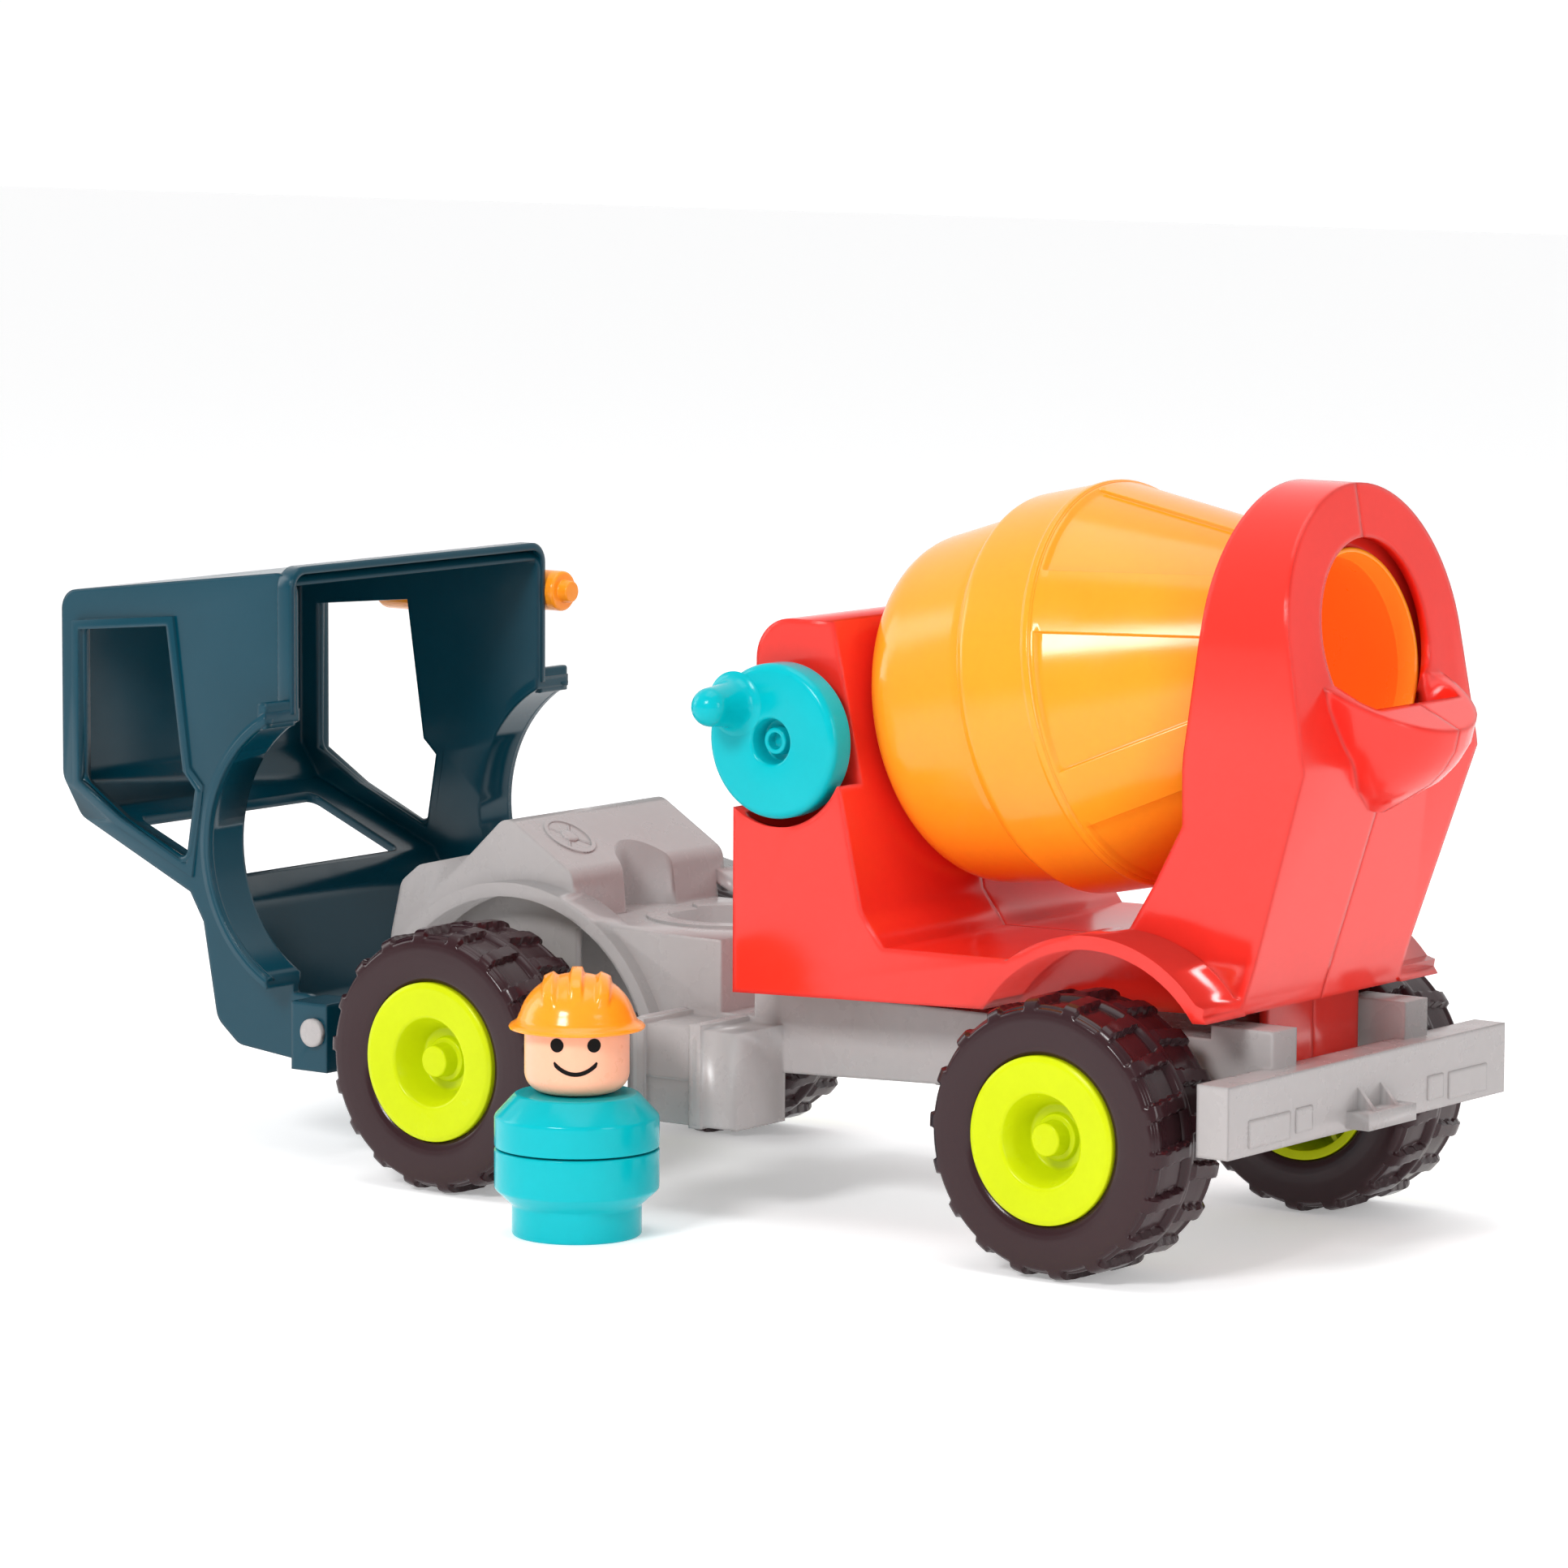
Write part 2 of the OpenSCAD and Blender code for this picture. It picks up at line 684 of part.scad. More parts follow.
// teeth of a bevel gear on local Z: its outer end lies at height h from the cone's tip at z = 0
module bevel_teeth(teeth, r_pitch, h, slack) {
  cone = atan(r_pitch / h);
  add = atan(0.85 * gear_m / cone_len);
  ded = atan(1.25 * gear_m / cone_len);
  a_pitch = 90 / teeth * slack;
  lean = 0.36 * gear_m / r_pitch * 180 / PI;
  k = 1 - face_w / cone_len;
  translate([0, 0, h * k])
    linear_extrude(height = h * (1 - k), scale = 1 / k)
      scale(k) gear_outline(teeth, h * tan(cone - ded), r_pitch, h * tan(cone + add),
                            a_pitch + lean, a_pitch, a_pitch - lean * 0.75);
}

module drum_gear() color("white") on_drum_axis() translate([0, 0, apex]) difference() {
  union() {
    // half a pitch of turn puts a gap where the pinion's tooth comes in
    rotate(90 / gear_teeth * 2) bevel_teeth(gear_teeth, gear_r, pinion_r, 0.72);
    translate([0, 0, pinion_r - eps]) cylinder(h = 2.4, r = gear_r - 2.2);
  }
  cylinder(h = 30, r = 5);
}

module drum_screw() color(steel) on_drum_axis()
  translate([0, 0, apex + 6.5]) screw(9, 1.2, 3.4, 1.4);

// ---------- crank ----------

module crank_wheel() color(aqua) difference() {
  union() {
    translate([50, crank_y, crank_z]) rotate([0, 90, 0]) rotate_extrude()
      polygon([[0, 0], [crank_r - 0.6, 0], [crank_r, 0.6], [crank_r, 6.6], [crank_r - 1.4, 8],
               [0, 8]]);
    // handle knob, near the rim, towards the front and up
    translate([57, crank_y - 11.6, crank_z + 9.2]) rotate([0, 90, 0]) rotate_extrude()
      polygon([[0, 0], [6.6, 0], [6, 2.4], [5.3, 5], [5.1, 11.4], [4.4, 14], [2.8, 15.8],
               [0, 16.6]]);
  }
  // recess with a hollow boss in its middle
  difference() {
    rod_x(52.5, 70, 5.7, crank_y, crank_z);
    rod_x(52, 56, 3.6, crank_y, crank_z);
  }
  rod_x(49, 52, shaft_r, crank_y, crank_z);
  rod_x(53, 60, 2.1, crank_y, crank_z);
}

module crank_shaft() color("white") {
  rod_x(2.9, 52, shaft_r, crank_y, crank_z);
  translate([0, crank_y, crank_z]) rotate([0, 90, 0])
    bevel_teeth(pinion_teeth, pinion_r, gear_r, 0.72);
  rod_x(gear_r - eps, gear_r + 3, 6, crank_y, crank_z);
}

// ---------- driver ----------

module at_driver() translate([driver_x, driver_y, 0]) children();

module driver_base() color(aqua) at_driver() rotate_extrude()
  polygon([[0, 0], [16.3, 0], [17.1, 0.8], [17.1, 8], [18, 9.4], [driver_r, 12.6],
           [driver_r, 22.6], [driver_r - 0.5, 23], [4, 23], [4, 30], [0, 30]]);

module driver_torso() color(aqua) at_driver() rotate_extrude()
  polygon([[4, 23.4], [driver_r - 0.5, 23.4], [driver_r, 23.8], [driver_r, 31.9],
           [16.8, 37.6], [2.55, 37.6], [2.55, 30.4], [4, 30.2]]);

module driver_head() color(skin) at_driver() rotate_extrude()
  polygon([[0, 30.6], [2.5, 30.6], [2.5, 37.9], [8.6, 37.9], [11.6, 39.4], [13.4, 42.4],
           [13.8, 46], [13.8, 56], [12.6, 60], [8, 64.6], [0, 66.4]]);

module driver_helmet() color(drum_orange) at_driver() {
  rotate_extrude()
    polygon([[13.8, 54.8], [17.2, 54.8], [17.7, 55.4], [17.2, 56.2], [15.4, 57], [14.6, 60.6],
             [12, 65], [8, 68.2], [0, 70], [0, 66.4], [8, 64.6], [12.6, 60], [13.8, 56]]);
  // three ridges over the crown, running front to back for its face to the left rear
  difference() {
    intersection() {
      translate([0, 0, 54.6]) sphere(r = 15.9);
      rotate(126.55) for (x = [-6.6, 0, 6.6])
        translate([x - 1.3, -13, 60]) cube([2.6, 26, 12]);
    }
    rotate_extrude()
      polygon([[0, 50], [14.4, 50], [14.2, 57], [13.4, 61], [8.6, 66], [0, 68]]);
  }
}

chassis();
body_left();
body_right();
body_screws();
seam_screws();
axle(front_y);  // front_axle
hub(front_y, 1);  // front_hub_left
hub(front_y, -1);  // front_hub_right
tyre(front_y, 1);  // front_tyre_left
tyre(front_y, -1);  // front_tyre_right
axle(rear_y);  // rear_axle
hub(rear_y, 1);  // rear_hub_left
hub(rear_y, -1);  // rear_hub_right
tyre(rear_y, 1);  // rear_tyre_left
tyre(rear_y, -1);  // rear_tyre_right
cab_shell();
exhaust_stack();
hinge_pin(1);  // hinge_pin_left
hinge_pin(-1);  // hinge_pin_right
drum_bowl();
drum_cone();
drum_gear();
drum_screw();
crank_wheel();
crank_shaft();
driver_base();
driver_torso();
driver_head();
driver_helmet();
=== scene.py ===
"""Looks of the toy cement mixer: moulded plastic shells, treaded tyres, panelled drum and peg driver."""
import math

import bmesh
import bpy
from mathutils import Matrix, Vector


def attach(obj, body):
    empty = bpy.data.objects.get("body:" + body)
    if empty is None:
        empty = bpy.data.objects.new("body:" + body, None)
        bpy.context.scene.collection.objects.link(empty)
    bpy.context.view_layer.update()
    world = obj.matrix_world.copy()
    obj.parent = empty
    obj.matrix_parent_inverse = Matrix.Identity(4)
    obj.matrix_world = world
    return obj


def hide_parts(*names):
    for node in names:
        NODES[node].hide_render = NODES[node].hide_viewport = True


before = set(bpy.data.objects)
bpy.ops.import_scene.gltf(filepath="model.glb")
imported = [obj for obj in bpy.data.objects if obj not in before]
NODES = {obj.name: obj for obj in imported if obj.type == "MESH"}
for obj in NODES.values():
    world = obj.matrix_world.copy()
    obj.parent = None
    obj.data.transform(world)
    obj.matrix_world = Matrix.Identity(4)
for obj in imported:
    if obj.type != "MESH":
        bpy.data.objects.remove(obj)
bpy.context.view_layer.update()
MM = 0.001

# ---------------------------------------------------------------- facts shared with the CAD, in mm
FRONT_Y, REAR_Y = -100.0, 100.0
AXLE_Z = 36.2
TYRE_R = 36.2
TYRE_BORE = 21.7
TYRE_X = 60.45
TILT = math.radians(11.5)
CRANK = Vector((0, 1.0, 129.0))
DRUM_Y = 56.2
DRUM_REACH = DRUM_Y - CRANK.y
DRUM = Vector((0, DRUM_Y, CRANK.z + DRUM_REACH * math.tan(TILT)))
DASH = Vector((0, -97.2, 91.4))
DASH_SLOPE = math.radians(31)
DRIVER = Vector((95.9, -33.3, 0))
HEAD_R = 13.8
FACE_DIR = math.atan2(0.595, 0.803)


# ---------------------------------------------------------------- small helpers
def smooth(a, b, x):
    """0 below a, 1 above b, with a soft step between."""
    if a == b:
        return float(x >= a)
    t = min(1.0, max(0.0, (x - a) / (b - a)))
    return t * t * (3 - 2 * t)


def fillet(points, seg=5):
    """Points (a, b, radius) of a closed outline, with their corners turned into arcs."""
    out = []
    n = len(points)
    for i in range(n):
        p = Vector(points[i][:2])
        radius = points[i][2] if len(points[i]) > 2 else 0
        u = Vector(points[i - 1][:2]) - p
        v = Vector(points[(i + 1) % n][:2]) - p
        lu, lv = u.length, v.length
        if radius <= 0 or lu < 1e-6 or lv < 1e-6:
            out.append((p.x, p.y))
            continue
        u /= lu
        v /= lv
        ang = u.angle(v)
        if ang > math.pi - 0.03:
            out.append((p.x, p.y))
            continue
        t = min(radius / math.tan(ang / 2), lu * 0.49, lv * 0.49)
        rr = t * math.tan(ang / 2)
        c = p + (u + v).normalized() * (rr / math.sin(ang / 2))
        va, vb = p + u * t - c, p + v * t - c
        turn = math.pi - ang
        for k in range(seg + 1):
            f = k / seg
            w = (va * math.sin(turn * (1 - f)) + vb * math.sin(turn * f)) / math.sin(turn)
            out.append(((c + w).x, (c + w).y))
    return out


def refine(points, step, closed=True):
    """The same outline with no stretch longer than step."""
    out = []
    n = len(points)
    for i in range(n if closed else n - 1):
        a, b = Vector(points[i]), Vector(points[(i + 1) % n])
        k = max(1, int(math.ceil((b - a).length / step)))
        out += [tuple(a.lerp(b, j / k)) for j in range(k)]
    if not closed:
        out.append(tuple(points[-1]))
    return out


def axis_matrix(origin, direction, spin=0.0):
    """Frame with local Z along direction."""
    z = Vector(direction).normalized()
    ref = Vector((1, 0, 0)) if abs(z.x) < 0.9 else Vector((0, 1, 0))
    x = (ref - z * ref.dot(z)).normalized()
    y = z.cross(x)
    m = Matrix((x, y, z)).transposed().to_4x4()
    return Matrix.Translation(Vector(origin)) @ m @ Matrix.Rotation(spin, 4, "Z")


def revolve(bm, profile, matrix, n=96, warp=None):
    """Turns an outline of (radius, height) round local Z.
    An outline from axis to axis is open; others close on themselves."""
    closed = not (profile[0][0] < 1e-6 and profile[-1][0] < 1e-6)
    rings = []
    for i, (r, s) in enumerate(profile):
        if r < 1e-6:
            rings.append([bm.verts.new((matrix @ Vector((0, 0, s))) * MM)])
            continue
        ring = []
        for j in range(n):
            a, rr, ss = 2 * math.pi * j / n, r, s
            if warp:
                a, rr, ss = warp(i, j, a, r, s)
            ring.append(bm.verts.new((matrix @ Vector((rr * math.cos(a), rr * math.sin(a), ss))) * MM))
        rings.append(ring)
    for i in range(len(rings) if closed else len(rings) - 1):
        a, b = rings[i], rings[(i + 1) % len(rings)]
        for j in range(n):
            k = (j + 1) % n
            if len(a) == 1 and len(b) == 1:
                continue
            if len(a) == 1:
                bm.faces.new((a[0], b[j], b[k]))
            elif len(b) == 1:
                bm.faces.new((a[j], b[0], a[k]))
            else:
                bm.faces.new((a[j], b[j], b[k], a[k]))


def prism(bm, outline, low, high, place):
    """A closed prism: outline points are put in space by place(a, b, c) at c = low and c = high."""
    bottom = [bm.verts.new(place(a, b, low) * MM) for a, b in outline]
    top = [bm.verts.new(place(a, b, high) * MM) for a, b in outline]
    n = len(outline)
    bm.faces.new(bottom)
    bm.faces.new(top)
    for i in range(n):
        k = (i + 1) % n
        bm.faces.new((bottom[i], bottom[k], top[k], top[i]))


def add_shading(obj, weight):
    """Lets the large faces decide the shading of the rounded edges between them."""
    mod = obj.modifiers.new("shade", "WEIGHTED_NORMAL")
    mod.keep_sharp = True
    mod.weight = weight


def piece(name, bm, body, slot_name, node=None, sharp=38, bevel=0.0):
    """Turns a bmesh into a piece that rides on a body and may stand for CAD nodes."""
    bmesh.ops.recalc_face_normals(bm, faces=bm.faces[:])
    mesh = bpy.data.meshes.new(name)
    bm.to_mesh(mesh)
    bm.free()
    for p in mesh.polygons:
        p.use_smooth = True
    obj = bpy.data.objects.new(name, mesh)
    bpy.context.scene.collection.objects.link(obj)
    if bevel:
        mod = obj.modifiers.new("edge", "BEVEL")
        mod.width = bevel * MM
        mod.segments = 3
        mod.limit_method = "ANGLE"
        mod.angle_limit = math.radians(sharp - 8)
        mod.miter_outer = "MITER_ARC"
        add_shading(obj, 80)
    else:
        mesh.set_sharp_from_angle(angle=math.radians(sharp))
    obj.data.materials.append(MATS[slot_name])
    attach(obj, body)
    if node:
        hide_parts(node)
    return obj


# ---------------------------------------------------------------- materials
def plastic(name, rgb, rough=0.3, sss=0.0, grain=1.0, tint=0.035, sss_rgb=None, fine=2600.0, spec=0.5, edge=0.0):
    """Moulded plastic: slight colour drift, uneven gloss, fine surface grain and faint scuffs."""
    mat = bpy.data.materials.new(name)
    mat.use_nodes = True
    nt = mat.node_tree
    nt.nodes.clear()
    new = nt.nodes.new
    out = new("ShaderNodeOutputMaterial")
    bsdf = new("ShaderNodeBsdfPrincipled")
    coord = new("ShaderNodeTexCoord")
    nt.links.new(bsdf.outputs[0], out.inputs[0])

    def noise(scale, detail=3.0, rough_=0.55):
        node = new("ShaderNodeTexNoise")
        node.inputs["Scale"].default_value = scale
        node.inputs["Detail"].default_value = detail
        node.inputs["Roughness"].default_value = rough_
        nt.links.new(coord.outputs["Object"], node.inputs["Vector"])
        return node

    def span(source, low, high):
        node = new("ShaderNodeMapRange")
        node.inputs["From Min"].default_value = 0.3
        node.inputs["From Max"].default_value = 0.7
        node.inputs["To Min"].default_value = low
        node.inputs["To Max"].default_value = high
        nt.links.new(source, node.inputs["Value"])
        return node

    flow = noise(24.0, 2.0)
    speck = noise(420.0, 4.0)
    dark = [c * (1 - tint) for c in rgb]
    light = [min(1.0, c * (1 + tint) + tint * 0.05) for c in rgb]
    mix = new("ShaderNodeMix")
    mix.data_type = "RGBA"
    mix.inputs["A"].default_value = (*dark, 1)
    mix.inputs["B"].default_value = (*light, 1)
    nt.links.new(span(flow.outputs["Fac"], 0, 1).outputs[0], mix.inputs["Factor"])
    value = new("ShaderNodeHueSaturation")
    nt.links.new(mix.outputs["Result"], value.inputs["Color"])
    nt.links.new(span(speck.outputs["Fac"], 0.985, 1.015).outputs[0], value.inputs["Value"])
    nt.links.new(value.outputs[0], bsdf.inputs["Base Color"])

    smudge = noise(65.0, 5.0, 0.6)
    nt.links.new(span(smudge.outputs["Fac"], rough * 0.82, rough * 1.2).outputs[0], bsdf.inputs["Roughness"])
    bsdf.inputs["Specular IOR Level"].default_value = spec
    if sss:
        bsdf.inputs["Subsurface Weight"].default_value = sss
        bsdf.inputs["Subsurface Radius"].default_value = sss_rgb or (0.6, 0.4, 0.3)
        bsdf.inputs["Subsurface Scale"].default_value = 0.004
    grit = noise(fine, 2.0, 0.5)
    swell = noise(110.0, 2.0, 0.5)
    stretch = new("ShaderNodeMapping")
    stretch.inputs["Scale"].default_value = (60, 900, 260)
    stretch.inputs["Rotation"].default_value = (0.4, 0.7, 0.3)
    nt.links.new(coord.outputs["Object"], stretch.inputs["Vector"])
    scuff = new("ShaderNodeTexNoise")
    scuff.inputs["Scale"].default_value = 1.0
    scuff.inputs["Detail"].default_value = 6.0
    nt.links.new(stretch.outputs[0], scuff.inputs["Vector"])
    first = new("ShaderNodeBump")
    first.inputs["Strength"].default_value = 0.14 * grain
    first.inputs["Distance"].default_value = 0.00006
    nt.links.new(grit.outputs["Fac"], first.inputs["Height"])
    if edge:
        # softened light along moulded edges, this wide in mm
        worn = new("ShaderNodeBevel")
        worn.samples = 6
        worn.inputs["Radius"].default_value = edge * MM
        nt.links.new(worn.outputs[0], first.inputs["Normal"])
    second = new("ShaderNodeBump")
    second.inputs["Strength"].default_value = 0.05 * grain
    second.inputs["Distance"].default_value = 0.0003
    nt.links.new(swell.outputs["Fac"], second.inputs["Height"])
    nt.links.new(first.outputs[0], second.inputs["Normal"])
    third = new("ShaderNodeBump")
    third.inputs["Strength"].default_value = 0.03 * grain
    third.inputs["Distance"].default_value = 0.00005
    nt.links.new(scuff.outputs["Fac"], third.inputs["Height"])
    nt.links.new(second.outputs[0], third.inputs["Normal"])
    nt.links.new(third.outputs[0], bsdf.inputs["Normal"])
    return mat


def principled(mat):
    return next(n for n in mat.node_tree.nodes if n.type == "BSDF_PRINCIPLED")


def glow(mat, rgb, strength):
    """Painted glow: emission that stands in for the light a thin coloured wall lets through from outside."""
    bsdf = principled(mat)
    bsdf.inputs["Emission Color"].default_value = (*rgb, 1)
    bsdf.inputs["Emission Strength"].default_value = strength
    return mat


def steel(name):
    mat = plastic(name, (0.62, 0.62, 0.64), rough=0.32, grain=1.2, tint=0.05)
    principled(mat).inputs["Metallic"].default_value = 1.0
    return mat


MATS = {
    "grey_plastic": plastic("grey_plastic", (0.40, 0.375, 0.372), 0.27, sss=0.05, fine=3200, spec=0.4, edge=1.5),
    "red_plastic": plastic("red_plastic", (0.8, 0.027, 0.017), 0.15, sss=0.04, sss_rgb=(1.0, 0.2, 0.1), spec=0.42,
                           edge=2.2),
    "orange_plastic": plastic("orange_plastic", (1.0, 0.318, 0.014), 0.17, sss=0.1, sss_rgb=(1.0, 0.5, 0.15),
                              spec=0.4),
    # painted glow on the drum's inner faces, in place of light through the thin wall
    "orange_painted_glow": glow(plastic("orange_painted_glow", (1.0, 0.27, 0.02), 0.3, spec=0.3), (1.0, 0.2, 0.02), 0.3),
    "blue_plastic": plastic("blue_plastic", (0.0, 0.044, 0.07), 0.2, spec=0.3, edge=1.4),
    "aqua_plastic": plastic("aqua_plastic", (0.0, 0.42, 0.475), 0.16, sss=0.03, sss_rgb=(0.2, 0.8, 1.0), spec=0.16),
    "lime_plastic": plastic("lime_plastic", (0.56, 0.65, 0.002), 0.24, sss=0.06, sss_rgb=(0.6, 0.8, 0.1), spec=0.14),
    "tyre_plastic": plastic("tyre_plastic", (0.027, 0.008, 0.0105), 0.2, grain=1.2, spec=0.3),
    "gear_plastic": plastic("gear_plastic", (0.78, 0.76, 0.7), 0.4),
    "skin_plastic": plastic("skin_plastic", (0.93, 0.47, 0.31), 0.3, sss=0.15, sss_rgb=(1.0, 0.5, 0.3), spec=0.3),
    "ink": plastic("ink", (0.004, 0.003, 0.003), 0.35, spec=0.1),
    "screw_steel": steel("screw_steel"),
    "axle_steel": steel("axle_steel"),
}


# ---------------------------------------------------------------- wheels
TREAD_BLOCKS = 18
POCKET_DEPTH = 2.0
SHOULDER_DEPTH = 1.25
GROOVE_DEPTH = 0.6


def tyre_outline():
    """Half the outline runs from the bore over the side wall to the tread; the other half mirrors it."""
    half = [(TYRE_BORE, 13.9), (22.3, 14.7), (23.6, 15.25), (25.6, 15.5), (28.2, 15.64), (30.8, 15.6), (32.8, 15.4),
            (34.1, 15.05), (34.9, 14.5), (35.5, 13.7), (35.9, 12.6), (36.1, 11.4), (TYRE_R, 9.0), (TYRE_R, 4.0)]
    tread = half + [(TYRE_R, 0.0)] + [(r, -s) for r, s in reversed(half)]
    return refine(tread, 0.8, closed=False) + [(TYRE_BORE, s) for s in (-9.0, 0.0, 9.0)]


def outline_normals(profile):
    out = []
    n = len(profile)
    for i in range(n):
        a, b = Vector(profile[i - 1]), Vector(profile[(i + 1) % n])
        d = (b - a).normalized()
        out.append((-d.y, d.x))
    return out


def make_tyre(name, body, x_sign, y):
    """A tyre with two rows of tread pockets, half a pitch apart, beside a shallow middle groove."""
    bm = bmesh.new()
    profile = tyre_outline()
    normals = outline_normals(profile)
    pitch = 2 * math.pi / TREAD_BLOCKS
    m = axis_matrix((x_sign * TYRE_X, y, AXLE_Z), (x_sign, 0, 0))

    def warp(i, j, a, r, s):
        if r < 32.5:
            return a, r, s
        row = 1 if s > 0 else -1
        t = ((a * x_sign + 0.0035 * abs(s) + (0.5 * pitch if row < 0 else 0)) / pitch) % 1.0
        t = abs(t - 0.5) * pitch * TYRE_R
        # a pocket between two cross ribs, open towards the shoulder over a low ring
        across = 1 - smooth(3.9, 4.5, t)
        pocket = smooth(1.3, 1.9, abs(s)) * (1 - smooth(12.2, 12.9, abs(s)))
        ring = smooth(12.2, 12.9, abs(s)) * smooth(33.0, 34.6, r)
        depth = across * (POCKET_DEPTH * pocket + SHOULDER_DEPTH * ring)
        middle = GROOVE_DEPTH * (1 - smooth(1.0, 1.5, abs(s)))
        nr, ns = normals[i]
        k = max(depth, middle)
        return a, min(r - abs(nr) * k, TYRE_R), s - (ns if ns * s > 0 else -ns) * k

    revolve(bm, profile, m, TREAD_BLOCKS * 24, warp)
    piece(name, bm, body, "tyre_plastic", name, sharp=50)


def make_hub(name, body, x_sign, y):
    """A dished hub with a conical recess, a small boss and six ribs behind the face."""
    bm = bmesh.new()
    m = axis_matrix((0, y, AXLE_Z), (x_sign, 0, 0))
    outline = fillet([(2.5, 38.6), (4.6, 38.6, 0.4), (4.6, 62.0, 0.8), (19.2, 65.6, 0.8), (19.2, 46.0, 0.4),
                      (TYRE_BORE, 45.5, 0.3), (TYRE_BORE, 76.0, 0.6), (20.4, 76.6, 2.2), (12.2, 76.2, 1.4),
                      (8.5, 67.5, 1.0), (6.2, 67.5, 0.3), (5.9, 69.1, 0.5), (4.6, 69.3, 0.2),
                      (4.25, 74.0, 0.6), (0.0, 74.0)], 6)
    revolve(bm, [(0, 72.8), (2.5, 72.8)] + outline, m, 128)
    for k in range(6):
        a = math.radians(60 * k)
        d = Vector((0, math.cos(a), math.sin(a)))
        t = Vector((0, -math.sin(a), math.cos(a)))

        def place(u, v, c, d=d, t=t):
            return Vector((x_sign * v, y, AXLE_Z)) + d * u + t * c

        prism(bm, [(4.4, 50.0), (19.4, 50.0), (19.4, 66.0), (4.4, 62.6)], -0.7, 0.7, place)
    piece(name, bm, body, "lime_plastic", name, sharp=40)


for end, wheel_y in (("front", FRONT_Y), ("rear", REAR_Y)):
    for side_name, sign in (("left", 1), ("right", -1)):
        make_tyre(f"{end}_tyre_{side_name}", f"{end}_wheels", sign, wheel_y)
        make_hub(f"{end}_hub_{side_name}", f"{end}_wheels", sign, wheel_y)


# ---------------------------------------------------------------- drum
SECTORS = 6
FIRST_RIB = math.radians(31.5)
RIB_HALF = 8.5
PANEL_DEPTH = 1.15
COLUMNS = 28


def drum_matrix():
    return axis_matrix(DRUM, (0, math.cos(TILT), math.sin(TILT)))


def drum_piece(name, bm, inside):
    """A drum piece whose inner faces, told by the test, get a painted glow in place of the light that the thin wall
    lets through.
    """
    obj = piece(name, bm, "drum", "orange_plastic", name, sharp=32)
    obj.data.materials.append(MATS["orange_painted_glow"])
    back = drum_matrix().inverted()
    for p in obj.data.polygons:
        c = back @ (p.center / MM)
        # inner faces get the painted glow material
        if inside(math.hypot(c.x, c.y), c.z):
            p.material_index = 1


def make_drum_bowl():
    """The front bowl, with the stub that runs in the gear tower."""
    bm = bmesh.new()
    apex = -DRUM_REACH / math.cos(TILT)
    outer = fillet([(49.0, 8.0, 0), (49.0, -3.0, 14.0), (45.6, -36.8, 13.5), (0.0, -36.8)], 10)
    outer = refine([p for p in outer if p[0] > 5.2] + [(5.2, -36.8)], 3.0, closed=False)
    stub = [(5.0, -36.8), (5.0, apex + 7.0), (4.4, apex + 6.5), (0.0, apex + 6.5)]
    inner = [(0.0, -34.6), (32.0, -34.6), (37.5, -33.4), (41.8, -29.6), (43.6, -24.0), (46.6, -3.0), (46.8, 8.0)]
    revolve(bm, inner + outer + stub, drum_matrix(), 144)
    drum_piece("drum_bowl", bm, lambda r, s: s > -34.8 and r < 46.9 + min(0, s + 3) * 0.14)


def rib_layout(r):
    """Angles round the drum, as (offset from the rib's centre, recess share), for one sector at radius r."""
    rib = math.asin(min(0.9, RIB_HALF / r))
    step = 0.6 / r
    sector = 2 * math.pi / SECTORS
    angles = [(-rib + 2 * rib * k / 8, 0.0) for k in range(9)]
    angles += [(rib + step * k / 3, (0.12, 0.88, 1.0)[k - 1]) for k in (1, 2, 3)]
    gap = sector - 2 * rib - 2 * step
    angles += [(rib + step + gap * k / 14, 1.0) for k in range(1, 14)]
    angles += [(sector - rib - step * k / 3, (0.12, 0.88, 1.0)[k - 1]) for k in (3, 2, 1)]
    return angles


def cone(s):
    """Radius of the drum's cone at s mm along its axis."""
    return 52.9 - (s - 25.6) * 25.3 / 60.8


def in_cone(r, s):
    """Whether a place at radius r, s mm along the axis, is on the cone's inner faces."""
    if s <= 25:
        return 8.05 < s and r < 50.7
    if s < 87.3:
        return r < 24.15 + (87.0 - s) * 25.65 / 61.2
    return r < 24.35


def make_drum_cone():
    """The band, the cone with recessed panels between ribs, and the collar."""
    bm = bmesh.new()
    outer = fillet([(49.0, 0.4, 0.0), (51.0, 0.5, 0.6), (53.2, 3.4, 3.6), (53.3, 22.6, 0.6), (53.7, 23.5, 0.5),
                    (53.6, 24.9, 0.5), (53.1, 25.2, 0.2), (cone(25.6), 25.6, 0.2)], 5)
    rows = refine(outer, 2.2, closed=False)
    for t in (25.9, 26.3, 26.7, 27.2):
        rows.append((cone(t), t))
    rows += refine([(cone(28.0), 28.0), (cone(82.6), 82.6)], 3.0, closed=False)
    for t in (83.0, 83.4, 83.8, 84.4):
        rows.append((cone(t), t))
    first_collar = len(rows)
    rows += fillet([(27.6, 86.4, 0.8), (25.8, 87.4, 0.6), (25.8, 92.4, 0.6), (24.4, 92.4, 0.6), (24.2, 88.0, 0.0)], 5)
    inner = refine([(24.0, 87.0), (49.6, 25.8), (50.6, 20.0), (50.6, 8.0), (49.0, 8.0)], 6.0, closed=False)

    def warp(i, j, a, r, s):
        on_cone = i < first_collar and s > 25.3
        offset, share = rib_layout(r if on_cone else max(r, 30.0))[j % COLUMNS]
        centre = FIRST_RIB + (j // COLUMNS) * 2 * math.pi / SECTORS
        depth = PANEL_DEPTH * share * smooth(26.1, 26.9, s) * (1 - smooth(83.2, 84.0, s)) if on_cone else 0.0
        return centre + offset, r - depth, s

    revolve(bm, rows + inner, drum_matrix(), SECTORS * COLUMNS, warp)
    drum_piece("drum_cone", bm, in_cone)


make_drum_bowl()
make_drum_cone()


